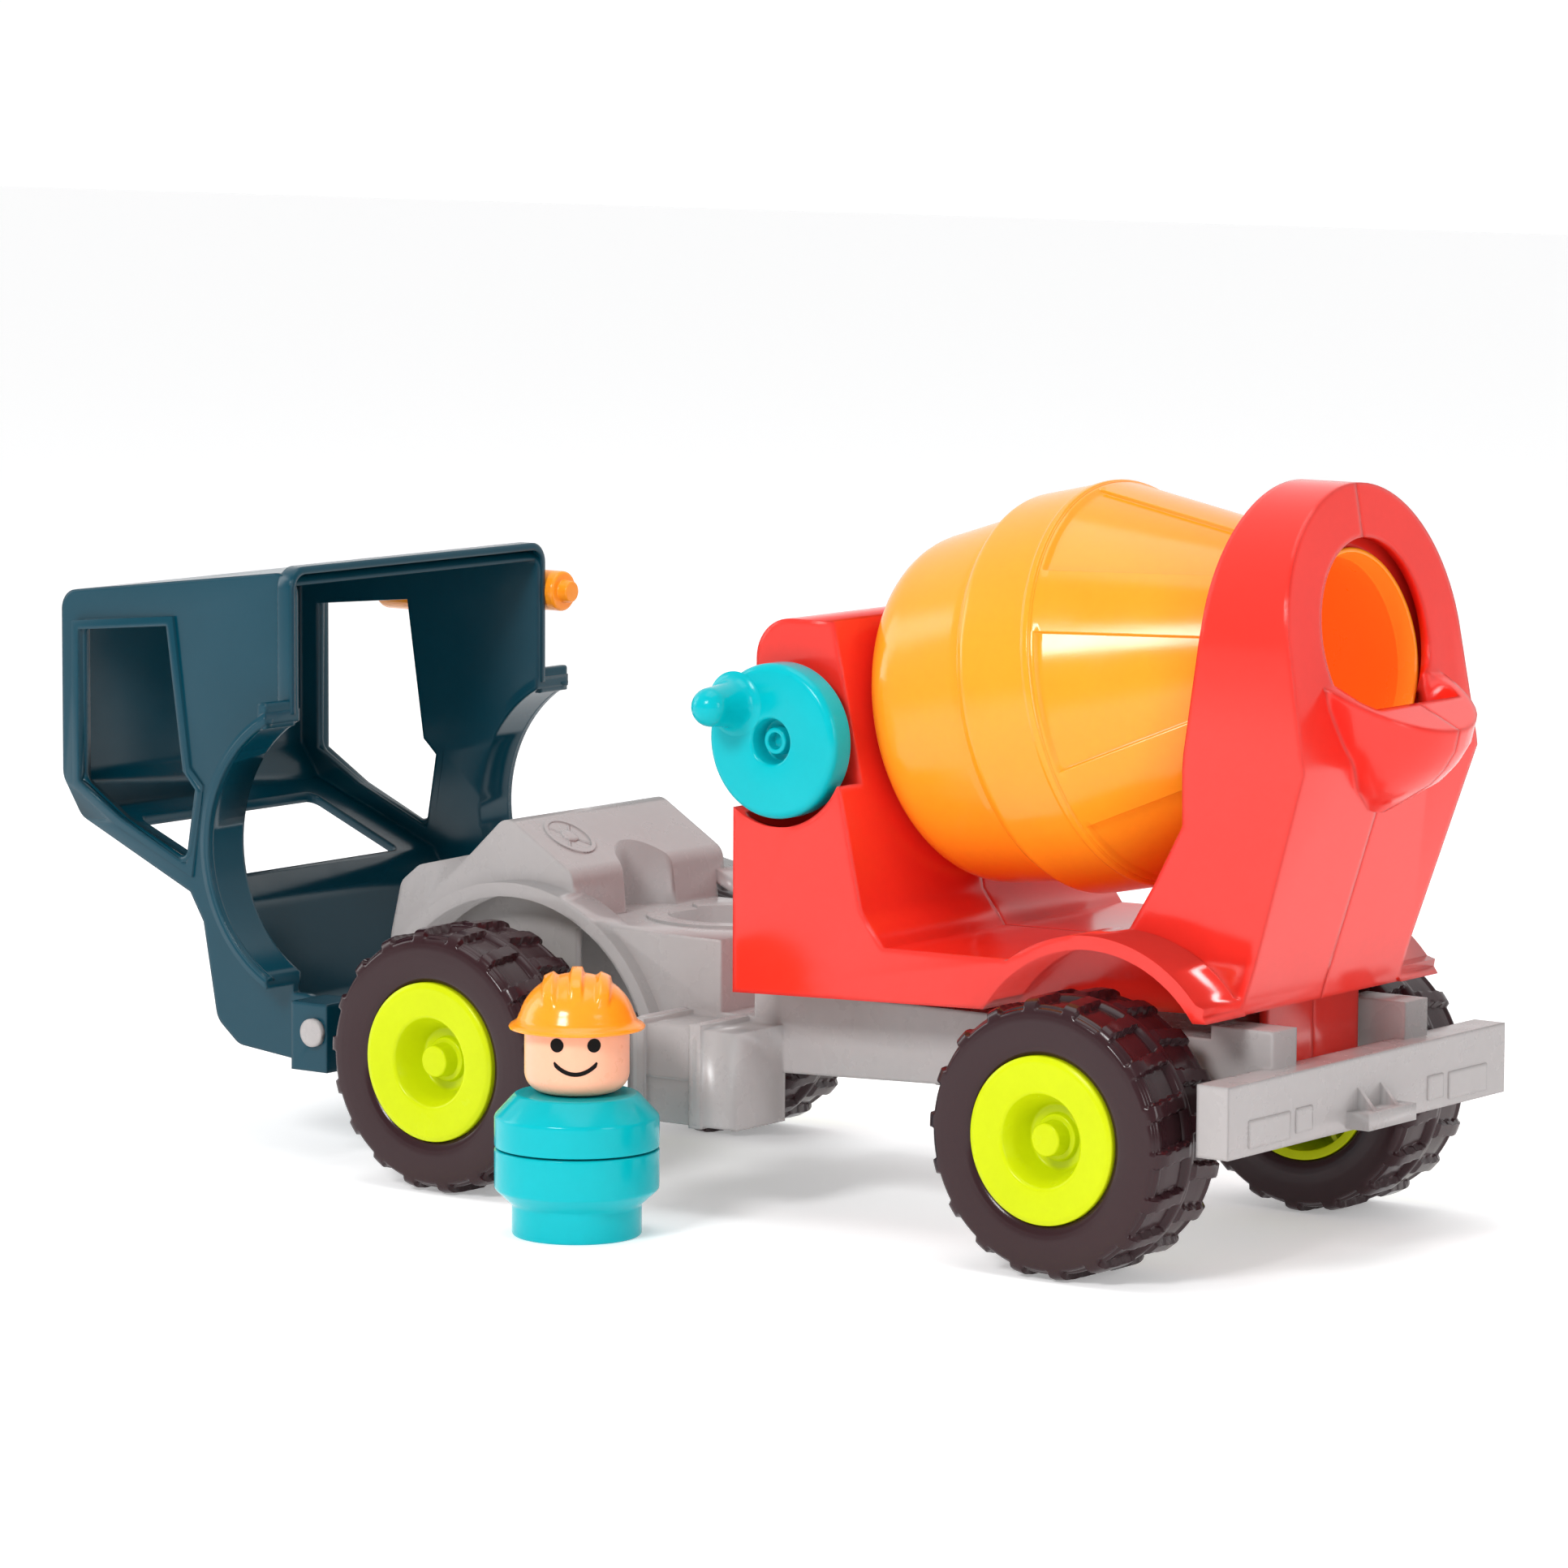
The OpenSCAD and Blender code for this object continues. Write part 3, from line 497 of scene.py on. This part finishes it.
# ---------------------------------------------------------------- crank
def make_crank():
    """The crank's disc with a recess and a small boss, and its knob."""
    bm = bmesh.new()
    m = axis_matrix((0, CRANK.y, CRANK.z), (1, 0, 0))
    disc = fillet([(3.0, 50.0), (20.5, 50.0, 0.6), (20.5, 58.0, 2.2), (6.1, 58.0, 1.0), (5.6, 52.6, 0.4),
                   (3.7, 52.6, 0.2), (3.5, 56.0, 0.5), (2.2, 56.0, 0.4), (2.1, 53.0, 0.2), (0.0, 53.0)], 6)
    revolve(bm, [(0, 52.05), (3.0, 52.05)] + disc, m, 144)
    knob = axis_matrix((0, CRANK.y - 11.6, CRANK.z + 9.2), (1, 0, 0))
    shape = [(0, 55.0), (6.0, 55.0), (8.6, 58.02), (7.4, 58.4), (6.6, 59.3), (6.05, 60.8), (5.75, 62.6),
             (5.5, 65.0), (5.2, 68.2)]
    shape += [(5.2 * math.cos(t), 68.4 + 5.15 * math.sin(t)) for t in [math.pi / 2 * k / 9 for k in range(10)]]
    shape[-1] = (0, shape[-1][1])
    revolve(bm, shape, knob, 72)
    piece("crank_wheel", bm, "crank", "aqua_plastic", "crank_wheel", sharp=42)


make_crank()


# ---------------------------------------------------------------- driver
def at_driver():
    return Matrix.Translation(DRIVER)


def make_driver():
    bm = bmesh.new()
    base = fillet([(0, 0), (17.1, 0, 0.8), (17.1, 8.2, 1.2), (21.7, 12.4, 1.6), (21.7, 22.95, 0.5), (4.0, 22.95),
                   (4.0, 30.0, 0.4), (0, 30.0)], 5)
    revolve(bm, base, at_driver(), 128)
    piece("driver_base", bm, "driver", "aqua_plastic", "driver_base", sharp=45)
    bm = bmesh.new()
    torso = fillet([(4.0, 23.45), (21.7, 23.45, 0.5), (21.7, 31.6, 1.8), (16.2, 37.6, 1.8), (2.6, 37.6),
                    (2.6, 30.4), (4.0, 30.4)], 5)
    revolve(bm, torso, at_driver(), 128)
    piece("driver_torso", bm, "driver", "aqua_plastic", "driver_torso", sharp=45)


def head_outline():
    body = fillet([(2.5, 37.9), (HEAD_R, 37.9, 8.4), (HEAD_R, 66.0, 9.0), (0, 66.3)], 12)
    return [(0, 30.6), (2.5, 30.6)] + body[:-1] + [(0, 66.3)]


def head_radius(z):
    pts = [p for p in head_outline() if p[1] > 37.8]
    best = 0.0
    for (r0, z0), (r1, z1) in zip(pts, pts[1:]):
        if min(z0, z1) <= z <= max(z0, z1) and abs(z1 - z0) > 1e-6:
            best = max(best, r0 + (r1 - r0) * (z - z0) / (z1 - z0))
    return best


def on_face(u, z, proud):
    """A point on the face: u mm to the driver's left seen from the front, at height z."""
    r = head_radius(z) + proud
    a = FACE_DIR + u / HEAD_R
    return (DRIVER + Vector((r * math.cos(a), r * math.sin(a), z))) * MM


def decal(name, columns):
    """A thin closed skin on the face; columns are rows of (u, z) points."""
    bm = bmesh.new()
    top = [[bm.verts.new(on_face(u, z, 0.07)) for u, z in col] for col in columns]
    low = [[bm.verts.new(on_face(u, z, -0.12)) for u, z in col] for col in columns]
    n, m = len(columns), len(columns[0])
    for i in range(n - 1):
        for j in range(m - 1):
            bm.faces.new((top[i][j], top[i + 1][j], top[i + 1][j + 1], top[i][j + 1]))
            bm.faces.new((low[i][j], low[i][j + 1], low[i + 1][j + 1], low[i + 1][j]))
    edge = [(i, 0) for i in range(n)] + [(n - 1, j) for j in range(1, m)]
    edge += [(i, m - 1) for i in range(n - 2, -1, -1)] + [(0, j) for j in range(m - 2, 0, -1)]
    for a, b in zip(edge, edge[1:] + edge[:1]):
        bm.faces.new((top[a[0]][a[1]], top[b[0]][b[1]], low[b[0]][b[1]], low[a[0]][a[1]]))
    bmesh.ops.remove_doubles(bm, verts=bm.verts[:], dist=1e-7)
    obj = piece(name, bm, "driver_head", "tyre_plastic", sharp=60)
    obj.data.materials[0] = MATS["ink"]


def eye_columns(u0, z0, r):
    """Columns of points that fill a round eye."""
    cols = []
    for k in range(17):
        a = math.pi * k / 16
        w, h = -math.cos(a) * r, max(0.02, math.sin(a) * r)
        cols.append([(u0 + w, z0 - h + 2 * h * j / 12) for j in range(13)])
    return cols


def make_head():
    bm = bmesh.new()
    revolve(bm, head_outline(), at_driver(), 128)
    piece("driver_head", bm, "driver_head", "skin_plastic", "driver_head", sharp=50)
    eye_z, eye_u, eye_r = 52.0, 4.95, 1.85
    mouth_z, dip, bend, reach, line = 47.0, 2.55, 5.6, 5.9, 0.56
    decal("eye_left", eye_columns(eye_u, eye_z, eye_r))
    decal("eye_right", eye_columns(-eye_u, eye_z, eye_r))
    cols = []
    for k in range(49):
        u = -reach + 2 * reach * k / 48
        mid = mouth_z - dip * (1 - (u / bend) ** 2)
        slope = 2 * dip * u / bend ** 2
        half = line * math.sqrt(1 + slope * slope)
        end = reach - abs(u)
        if end < line:
            half *= math.sqrt(max(0.002, 1 - ((line - end) / line) ** 2))
        cols.append([(u, mid - half + 2 * half * j / 4) for j in range(5)])
    decal("smile", cols)


def make_helmet():
    """The hard hat: a brim, a dome and three ridges from front to back."""
    bm = bmesh.new()
    dome_r, dome_h, dome_z, dome_start = 15.4, 13.6, 55.6, math.radians(14)
    dome = [(17.7, 54.75), (17.9, 55.25), (17.5, 55.8), (16.6, 56.3), (15.7, 57.1), (15.2, 58.4)]
    n_dome = 22
    for k in range(n_dome + 1):
        a = dome_start + (math.pi / 2 - dome_start) * k / n_dome
        dome.append((dome_r * math.cos(a) if k < n_dome else 0.0, dome_z + dome_h * math.sin(a)))
    inside = [(0, 66.5), (8.0, 64.9), (12.6, 60.3), (13.85, 56.0), (13.85, 54.9), (15.4, 54.3)]
    inside = refine(inside, 4.0, closed=False)
    first_out = len(inside)
    rows = inside + refine(dome, 0.9, closed=False)
    side_dir = FACE_DIR + math.pi / 2

    def warp(i, j, a, r, s):
        if i < first_out or s < 57.0:
            return a, r, s
        across = r * math.cos(a - side_dir)
        lift = 0.0
        for c, start in ((-6.9, 61.5), (0.0, 63.5), (6.9, 61.5)):
            ridge = 1 - smooth(1.1, 2.0, abs(across - c))
            lift = max(lift, ridge * smooth(start, start + 3, s) * (1.5 if c == 0 else 1.3))
        n_r, n_s = r / dome_r, (s - dome_z) / dome_h
        length = math.hypot(n_r, n_s)
        return a, r + lift * n_r / length, s + lift * n_s / length

    revolve(bm, rows, at_driver(), 240, warp)
    piece("driver_helmet", bm, "driver_head", "orange_plastic", "driver_helmet", sharp=55)


make_driver()
make_head()
make_helmet()


# ---------------------------------------------------------------- shells taken from the CAD, with moulded edges
def clear_run(face, edge):
    """How far a face runs inwards from the middle of one of its edges, square to that edge."""
    a, b = edge.verts[0].co, edge.verts[1].co
    mid = (a + b) / 2
    along = (b - a).normalized()
    inward = face.normal.cross(along)
    loop = next(l for l in face.loops if l.edge == edge)
    if loop.vert != edge.verts[0]:
        inward = -inward
    best = 1.0
    for e in face.edges:
        if e == edge:
            continue
        p, q = e.verts[0].co - mid, e.verts[1].co - mid
        pa, qa = p.dot(along), q.dot(along)
        if (pa > 1e-7) == (qa > 1e-7):
            continue
        t = pa / (pa - qa)
        d = (p.dot(inward) * (1 - t)) + q.dot(inward) * t
        if d > 1e-6:
            best = min(best, d)
    return best


SEAM = 0.22
WIDEST = 3.5


def shell(node, body, slot_name, width=1.2, wide=None):
    """A CAD solid with every moulded edge rounded by as much as its faces have room for, up to width.
    wide(point) may ask for another width in mm at a point in mm; edges in the middle plane get the seam's."""
    bm = bmesh.new()
    bm.from_mesh(NODES[node].data)
    bmesh.ops.remove_doubles(bm, verts=bm.verts[:], dist=4e-6)
    bmesh.ops.dissolve_degenerate(bm, edges=bm.edges[:], dist=2e-5)
    bmesh.ops.dissolve_limit(bm, angle_limit=math.radians(0.6), verts=bm.verts[:], edges=bm.edges[:])
    bm.normal_update()
    sizes_mm = {}
    for e in bm.edges:
        if len(e.link_faces) != 2 or e.calc_face_angle(0) < math.radians(24):
            continue
        want = width
        if wide:
            want = wide((e.verts[0].co + e.verts[1].co) / 2 / MM)
            if max(abs(v.co.x) for v in e.verts) < 0.02 * MM:
                want = SEAM
        room = min(clear_run(f, e) for f in e.link_faces) / MM
        sizes_mm[e] = min(want, room * 0.42)
    # neighbours in a row of short edges get the size of the tightest of them
    for _ in range(3):
        nxt = dict(sizes_mm)
        for e, w in sizes_mm.items():
            for v in e.verts:
                d = (e.other_vert(v).co - v.co).normalized()
                for o in v.link_edges:
                    if o in sizes_mm and o is not e:
                        on = d.dot((v.co - o.other_vert(v).co).normalized()) > 0.8
                        nxt[e] = min(nxt[e], sizes_mm[o] * 1.15 + 0.02 if on else sizes_mm[o] * 3 + 0.4)
        sizes_mm = nxt
    layer = bm.edges.layers.float.get("bevel_weight_edge") or bm.edges.layers.float.new("bevel_weight_edge")
    for e in bm.edges:
        e[layer] = sizes_mm.get(e, 0.0) / WIDEST
    obj = piece(node, bm, body, slot_name, node, sharp=60)
    mod = obj.modifiers.new("edge", "BEVEL")
    mod.width = WIDEST * MM
    mod.segments = 4
    mod.limit_method = "WEIGHT"
    mod.use_clamp_overlap = False
    mod.miter_outer = "MITER_SHARP"
    add_shading(obj, 75)


def body_width(p):
    """Softer edges on the two towers and on the load deck."""
    if p.z > 170 or (p.y > 100 and abs(p.x) > 30 and p.z > 84):
        return 2.2
    if p.y < 40 and p.z > 82:
        return 2.6
    return 1.2


def chassis_width(p):
    """Wide on the bonnet block, none on the side boxes, which have their own skin."""
    if abs(p.x) > 38 and -47 < p.y < -9:
        return 0.2
    if p.y < -84 and p.z > 73:
        return 2.4
    return 1.2


shell("chassis", "truck", "grey_plastic", 1.1, chassis_width)
shell("body_left", "truck", "red_plastic", 1.2, body_width)
shell("body_right", "truck", "red_plastic", 1.2, body_width)
shell("cab_shell", "cab", "blue_plastic", 1.0)
shell("hinge_pin_left", "truck", "grey_plastic", 0.5)
shell("hinge_pin_right", "truck", "grey_plastic", 0.5)


# ---------------------------------------------------------------- moulded details
def shut_to_open(x, y, z):
    """A point of the shut cab, carried to where the cab is tipped open."""
    return Vector((x, -110.6 - z, y + 187.4))


def make_cab_rim():
    """The thicker lip round the cab's open edge."""
    bm = bmesh.new()
    outer = fillet([(56.5, -63.0), (56.5, -22.3, 6.0), (-56.5, -22.3, 6.0), (-56.5, -63.0)], 8)
    inner = fillet([(54.6, -63.0), (54.6, -24.4, 4.2), (-54.6, -24.4, 4.2), (-54.6, -63.0)], 8)

    levels = [(54.6, -0.5), (55.0, 0.0), (59.2, 0.0), (59.8, -0.3), (60.1, -0.9)]
    columns = []
    for i, (ox, oy) in enumerate(outer):
        ix, iy = inner[i]
        col = []
        for z, grow in levels:
            d = Vector((ox - ix, oy - iy)).normalized() * grow
            col.append(bm.verts.new(shut_to_open(ox + d.x, oy + d.y, z) * MM))
        col.append(bm.verts.new(shut_to_open(ix, iy, 60.1) * MM))
        col.append(bm.verts.new(shut_to_open(ix, iy, 54.6) * MM))
        columns.append(col)
    n = len(columns[0])
    for c0, c1 in zip(columns, columns[1:]):
        for k in range(n):
            m = (k + 1) % n
            bm.faces.new((c0[k], c1[k], c1[m], c0[m]))
    bm.faces.new(columns[0])
    bm.faces.new(columns[-1])
    piece("cab_rim", bm, "cab", "blue_plastic", sharp=50)


def make_dash():
    """A hub and four spokes for the steering wheel, and two plain dials on the dash."""
    bm = bmesh.new()
    across, down = Vector((1, 0, 0)), Vector((0, math.cos(DASH_SLOPE), -math.sin(DASH_SLOPE)))
    out = Vector((0, math.sin(DASH_SLOPE), math.cos(DASH_SLOPE)))
    centre = DASH + across * 19.3
    for k in range(4):
        a = math.radians(45 + 90 * k)
        d = across * math.cos(a) + down * math.sin(a)
        t = out.cross(d)

        def place(u, v, c, d=d, t=t):
            return centre + d * u + t * v + out * c

        prism(bm, [(2.0, -0.5), (6.9, -0.5), (6.9, 0.5), (2.0, 0.5)], 0.1, 1.2, place)
    m = Matrix((across, down, out)).transposed().to_4x4()
    hub = fillet([(0.0, 0.1), (2.6, 0.1), (2.6, 1.7, 0.5), (0.0, 1.7)], 4)
    revolve(bm, hub, Matrix.Translation(centre) @ m, 48)
    for x in (3.4, -7.6):
        dial = [(4.0 + 0.4 * math.cos(t), 0.1 + 0.4 * math.sin(t)) for t in [math.pi * k / 6 for k in range(12)]]
        revolve(bm, dial, Matrix.Translation(DASH + across * x) @ m, 64)
    piece("dash_marks", bm, "truck", "grey_plastic", sharp=40)


def tube(bm, points, radius, closed=False, n=12):
    """A round bead along a path of points in mm; an open one gets domed ends."""
    count = len(points)
    rings = []
    for i, p in enumerate(points):
        before = points[i - 1] if i or closed else p
        after = points[(i + 1) % count] if i < count - 1 or closed else p
        along = (after - before).normalized()
        side_dir = Vector((1, 0, 0)) - along * along.x
        side_dir.normalize()
        third = along.cross(side_dir)
        bend = 1.0
        if 0 < i < count - 1 or closed:
            half = (after - p).angle(p - before, 0.0) / 2
            bend = 1 / max(0.5, math.cos(half))
        rings.append([bm.verts.new((p + side_dir * radius * math.cos(t) + third * radius * bend * math.sin(t)) * MM)
                      for t in [2 * math.pi * k / n for k in range(n)]])
    for i in range(count if closed else count - 1):
        a, b = rings[i], rings[(i + 1) % count]
        for k in range(n):
            m = (k + 1) % n
            bm.faces.new((a[k], a[m], b[m], b[k]))
    if not closed:
        bm.faces.new(rings[0])
        bm.faces.new(rings[-1])


def make_cab_beads():
    """Rounded beads round the side windows and along the wheel arches, with a small foot at each arch's end."""
    window = [(-44.4, 135.6, 2.0), (-41.4, 102.3, 1.6), (-82.0, 96.4, 1.6), (-86.4, 91.8, 1.6), (-108.0, 95.4, 4.0),
              (-97.0, 120.2, 1.0), (-87.5, 135.6, 5.0)]
    centre = Vector((-76, 114))
    for sign in (1, -1):
        bm = bmesh.new()
        path = []
        for y, z in fillet(window, 5):
            away = (Vector((y, z)) - centre).normalized() * 1.5
            path.append(shut_to_open(sign * (54.9 - 4 * (z - 55) / 95), y + away.x, z + away.y))
        tube(bm, path, 1.55, closed=True)
        arch = []
        for k in range(41):
            a = math.radians(27.2 + (152.8 - 27.2) * k / 40)
            arch.append(shut_to_open(sign * 65.4, FRONT_Y + 41.4 * math.cos(a), AXLE_Z + 41.4 * math.sin(a)))
        tube(bm, arch, 1.75)

        def place(u, v, c, sign=sign):
            return shut_to_open(sign * c, u, v)

        foot = fillet([(-66.2, 54.95, 0.4), (-59.0, 54.95, 0.8), (-59.0, 58.2, 1.0), (-66.2, 58.2, 1.2)], 3)
        prism(bm, foot, 54.5, 66.6, place)
        piece("cab_beads_left" if sign > 0 else "cab_beads_right", bm, "cab", "blue_plastic", sharp=45)


def make_stack():
    """The exhaust stack: end cap, wide muffler, thin pipe and the two pegs that hold it to the cab."""
    bm = bmesh.new()
    cap = fillet([(0, -3.0), (3.0, -3.0, 0.5), (3.4, 0.0, 0.3), (5.8, 0.0, 0.9), (6.0, 27.0, 0.4), (3.4, 29.0),
                  (3.4, 82.0, 0.5), (2.6, 84.0, 0.6), (0, 84.0)], 5)
    revolve(bm, cap, axis_matrix((-61.6, -162.6, 150.5), (0, -1, 0)), 64)
    muffler = fillet([(0, 0), (5.2, 0, 0.6), (6.7, 2.4, 1.0), (6.7, 43.0, 2.4), (3.0, 45.5, 0.6), (0, 45.5)], 5)
    revolve(bm, muffler, axis_matrix((-61.9, -186.0, 148.4), (0, -1, 0)), 64)
    for z in (66, 94):
        peg = axis_matrix(shut_to_open(-58, -36.9, z), (1, 0, 0))
        revolve(bm, [(0, 0), (1.8, 0), (1.8, 4.6), (0, 4.6)], peg, 32)
    piece("exhaust_stack", bm, "cab", "orange_plastic", "exhaust_stack", sharp=40)


def make_bumper_plates():
    """Two flat raised plates on each side of the bumper's rear face."""
    bm = bmesh.new()

    def place(u, v, c):
        return Vector((u, c, v))

    for sign in (1, -1):
        for x0, x1, z0, z1 in ((38.5, 58.0, 37.0, 44.3), (28.0, 36.0, 38.0, 44.5)):
            xs = sorted((sign * x0, sign * x1))
            rect = fillet([(xs[0], z0, 0.5), (xs[1], z0, 0.5), (xs[1], z1, 0.5), (xs[0], z1, 0.5)], 3)
            prism(bm, rect, 150.2, 150.95, place)
    piece("bumper_plates", bm, "truck", "grey_plastic", bevel=0.2, sharp=40)


def make_side_boxes():
    """Rounded side boxes: a panelled face, a smooth rear end and two rounded straps."""
    round_y, round_r = -13.6, 4.0
    for sign in (1, -1):
        bm = bmesh.new()

        def place(u, v, c, sign=sign):
            return Vector((sign * u, c, v))

        shell_line = fillet([(36.8, 24.6), (57.9, 24.6, 0.6), (57.9, 50.4, 3.6), (36.8, 50.4)], 8)
        inner = Vector((47.0, 36.0))
        stations = [(-45.8, 0.8), (-45.0, 0.0), (-28.0, 0.0), (round_y, 0.0)]
        for k in range(1, 9):
            t = math.pi / 2 * k / 8
            stations.append((round_y + round_r * math.sin(t), round_r * (1 - math.cos(t))))
        rings = []
        for y, shrink in stations:
            ring = []
            for u, v in shell_line:
                uu = u - shrink if u > inner.x else u
                vv = v - shrink if v > inner.y else v
                ring.append(bm.verts.new(place(uu, vv, y) * MM))
            rings.append(ring)
        for a, b in zip(rings, rings[1:]):
            for k in range(len(a)):
                m = (k + 1) % len(a)
                bm.faces.new((a[k], a[m], b[m], b[k]))
        bm.faces.new(rings[0])
        bm.faces.new(rings[-1])
        for y in (-42.6, -22.6):
            path = [Vector((sign * x, y, z)) for x, z in refine(fillet(
                [(37.4, 51.2), (58.3, 51.2, 3.4), (58.3, 24.9)], 8), 6.0, closed=False)]
            path = path[1:] if path[0] == path[1] else path
            bar(bm, path, y, 1.9, 1.0)
        bar(bm, [Vector((sign * 57.9, y, 36.6)) for y in (-41, -24)], None, 0.35, 0.35)
        bar(bm, [Vector((sign * 57.9, -40.2, z)) for z in (25.2, 46.6)], None, 0.3, 0.35)
        piece("side_box_left" if sign > 0 else "side_box_right", bm, "truck", "grey_plastic", sharp=45)


def bar(bm, path, y, half, rise):
    """A low rounded strap over a path of points: half as wide on each side, and rise high."""
    rings = []
    for i, p in enumerate(path):
        before, after = path[max(0, i - 1)], path[min(len(path) - 1, i + 1)]
        along = (after - before).normalized()
        wide = Vector((0, 1, 0)) if y is not None or abs(along.y) < 0.5 else Vector((0, 0, 1))
        up = along.cross(wide)
        if up.dot(Vector((p.x, 0, p.z - 38 if abs(along.z) < 0.7 else 0))) < 0:
            up = -up
        rings.append([bm.verts.new((p + wide * half * math.cos(t) + up * rise * math.sin(t)) * MM)
                      for t in [2 * math.pi * k / 12 for k in range(12)]])
    for a, b in zip(rings, rings[1:]):
        for k in range(12):
            m = (k + 1) % 12
            bm.faces.new((a[k], a[m], b[m], b[k]))
    bm.faces.new(rings[0])
    bm.faces.new(rings[-1])


make_side_boxes()
make_cab_rim()
make_cab_beads()
make_stack()
make_dash()
make_bumper_plates()

for node, slot_name in (("body_screws", "screw_steel"), ("seam_screws", "screw_steel"), ("drum_screw", "screw_steel"),
                        ("front_axle", "axle_steel"), ("rear_axle", "axle_steel"),
                        ("drum_gear", "gear_plastic"), ("crank_shaft", "gear_plastic")):
    NODES[node].data.materials.clear()
    NODES[node].data.materials.append(MATS[slot_name])


# ---------------------------------------------------------------- studio
def make_floor():
    bm = bmesh.new()
    size = 6.0
    v = [bm.verts.new((x, y, 0)) for x, y in ((-size, -size), (size, -size), (size, size), (-size, size))]
    bm.faces.new(v)
    mesh = bpy.data.meshes.new("floor")
    bm.to_mesh(mesh)
    bm.free()
    obj = bpy.data.objects.new("floor", mesh)
    bpy.context.scene.collection.objects.link(obj)
    mat = bpy.data.materials.new("floor")
    mat.use_nodes = True
    bsdf = mat.node_tree.nodes["Principled BSDF"]
    bsdf.inputs["Base Color"].default_value = (0.96, 0.96, 0.965, 1)
    bsdf.inputs["Roughness"].default_value = 0.6
    bsdf.inputs["Specular IOR Level"].default_value = 0.1
    bsdf.inputs["Emission Color"].default_value = (1, 1, 1, 1)
    bsdf.inputs["Emission Strength"].default_value = 0.3
    obj.data.materials.append(mat)


def area(name, where, target, size, size_y, power):
    """A soft box at a place in metres, facing a target; its size is in metres and its power in watts."""
    data = bpy.data.lights.new(name, "AREA")
    data.energy = power
    data.shape = "RECTANGLE"
    data.size = size
    data.size_y = size_y
    obj = bpy.data.objects.new(name, data)
    obj.location = where
    obj.rotation_euler = (Vector(target) - Vector(where)).to_track_quat("-Z", "Y").to_euler()
    bpy.context.scene.collection.objects.link(obj)


def make_studio():
    """White all round, dimmer on the side that the shown faces mirror, with softboxes above and beside."""
    world = bpy.data.worlds.new("studio")
    world.use_nodes = True
    nt = world.node_tree
    bg = nt.nodes["Background"]
    coord = nt.nodes.new("ShaderNodeTexCoord")
    dot = nt.nodes.new("ShaderNodeVectorMath")
    dot.operation = "DOT_PRODUCT"
    dot.inputs[1].default_value = (-0.8, -0.59, 0.1)
    ramp = nt.nodes.new("ShaderNodeMapRange")
    ramp.inputs["From Min"].default_value = -0.3
    ramp.inputs["From Max"].default_value = 0.75
    ramp.inputs["To Min"].default_value = 0.42
    ramp.inputs["To Max"].default_value = 1.02
    nt.links.new(coord.outputs["Generated"], dot.inputs[0])
    nt.links.new(dot.outputs["Value"], ramp.inputs["Value"])
    nt.links.new(ramp.outputs[0], bg.inputs["Strength"])
    bg.inputs[0].default_value = (1, 1, 1, 1)
    bpy.context.scene.world = world
    area("key", (1.3, 0.1, 0.9), (0, 0.02, 0.1), 0.4, 0.3, 12)
    area("top", (0.1, 0.0, 1.6), (0, 0, 0.05), 1.1, 1.1, 8)
    area("left", (0.5, -1.6, 0.7), (0, 0, 0.1), 0.6, 0.9, 5)
    area("right", (0.3, 1.7, 0.6), (0, 0, 0.1), 0.4, 0.8, 6)
    bpy.context.scene.view_settings.view_transform = "Standard"


def make_camera():
    """The photograph's view: turned, raised, far off and slightly rolled."""
    az, el, dist, roll = math.radians(126.55), math.radians(6.87), 1.84387, math.radians(0.27)
    target = Vector((0, -0.03741, 0.10951))
    back = Vector((math.sin(az) * math.cos(el), -math.cos(az) * math.cos(el), math.sin(el)))
    right = Vector((0, 0, 1)).cross(back).normalized()
    up = back.cross(right)
    right, up = right * math.cos(roll) + up * math.sin(roll), up * math.cos(roll) - right * math.sin(roll)
    data = bpy.data.cameras.new("camera")
    data.sensor_width = 36
    data.lens = 155.555
    data.clip_end = 50
    obj = bpy.data.objects.new("camera", data)
    m = Matrix((right, up, back)).transposed().to_4x4()
    m.translation = target + back * dist
    obj.matrix_world = m
    bpy.context.scene.collection.objects.link(obj)
    bpy.context.scene.camera = obj


make_floor()
make_studio()
make_camera()
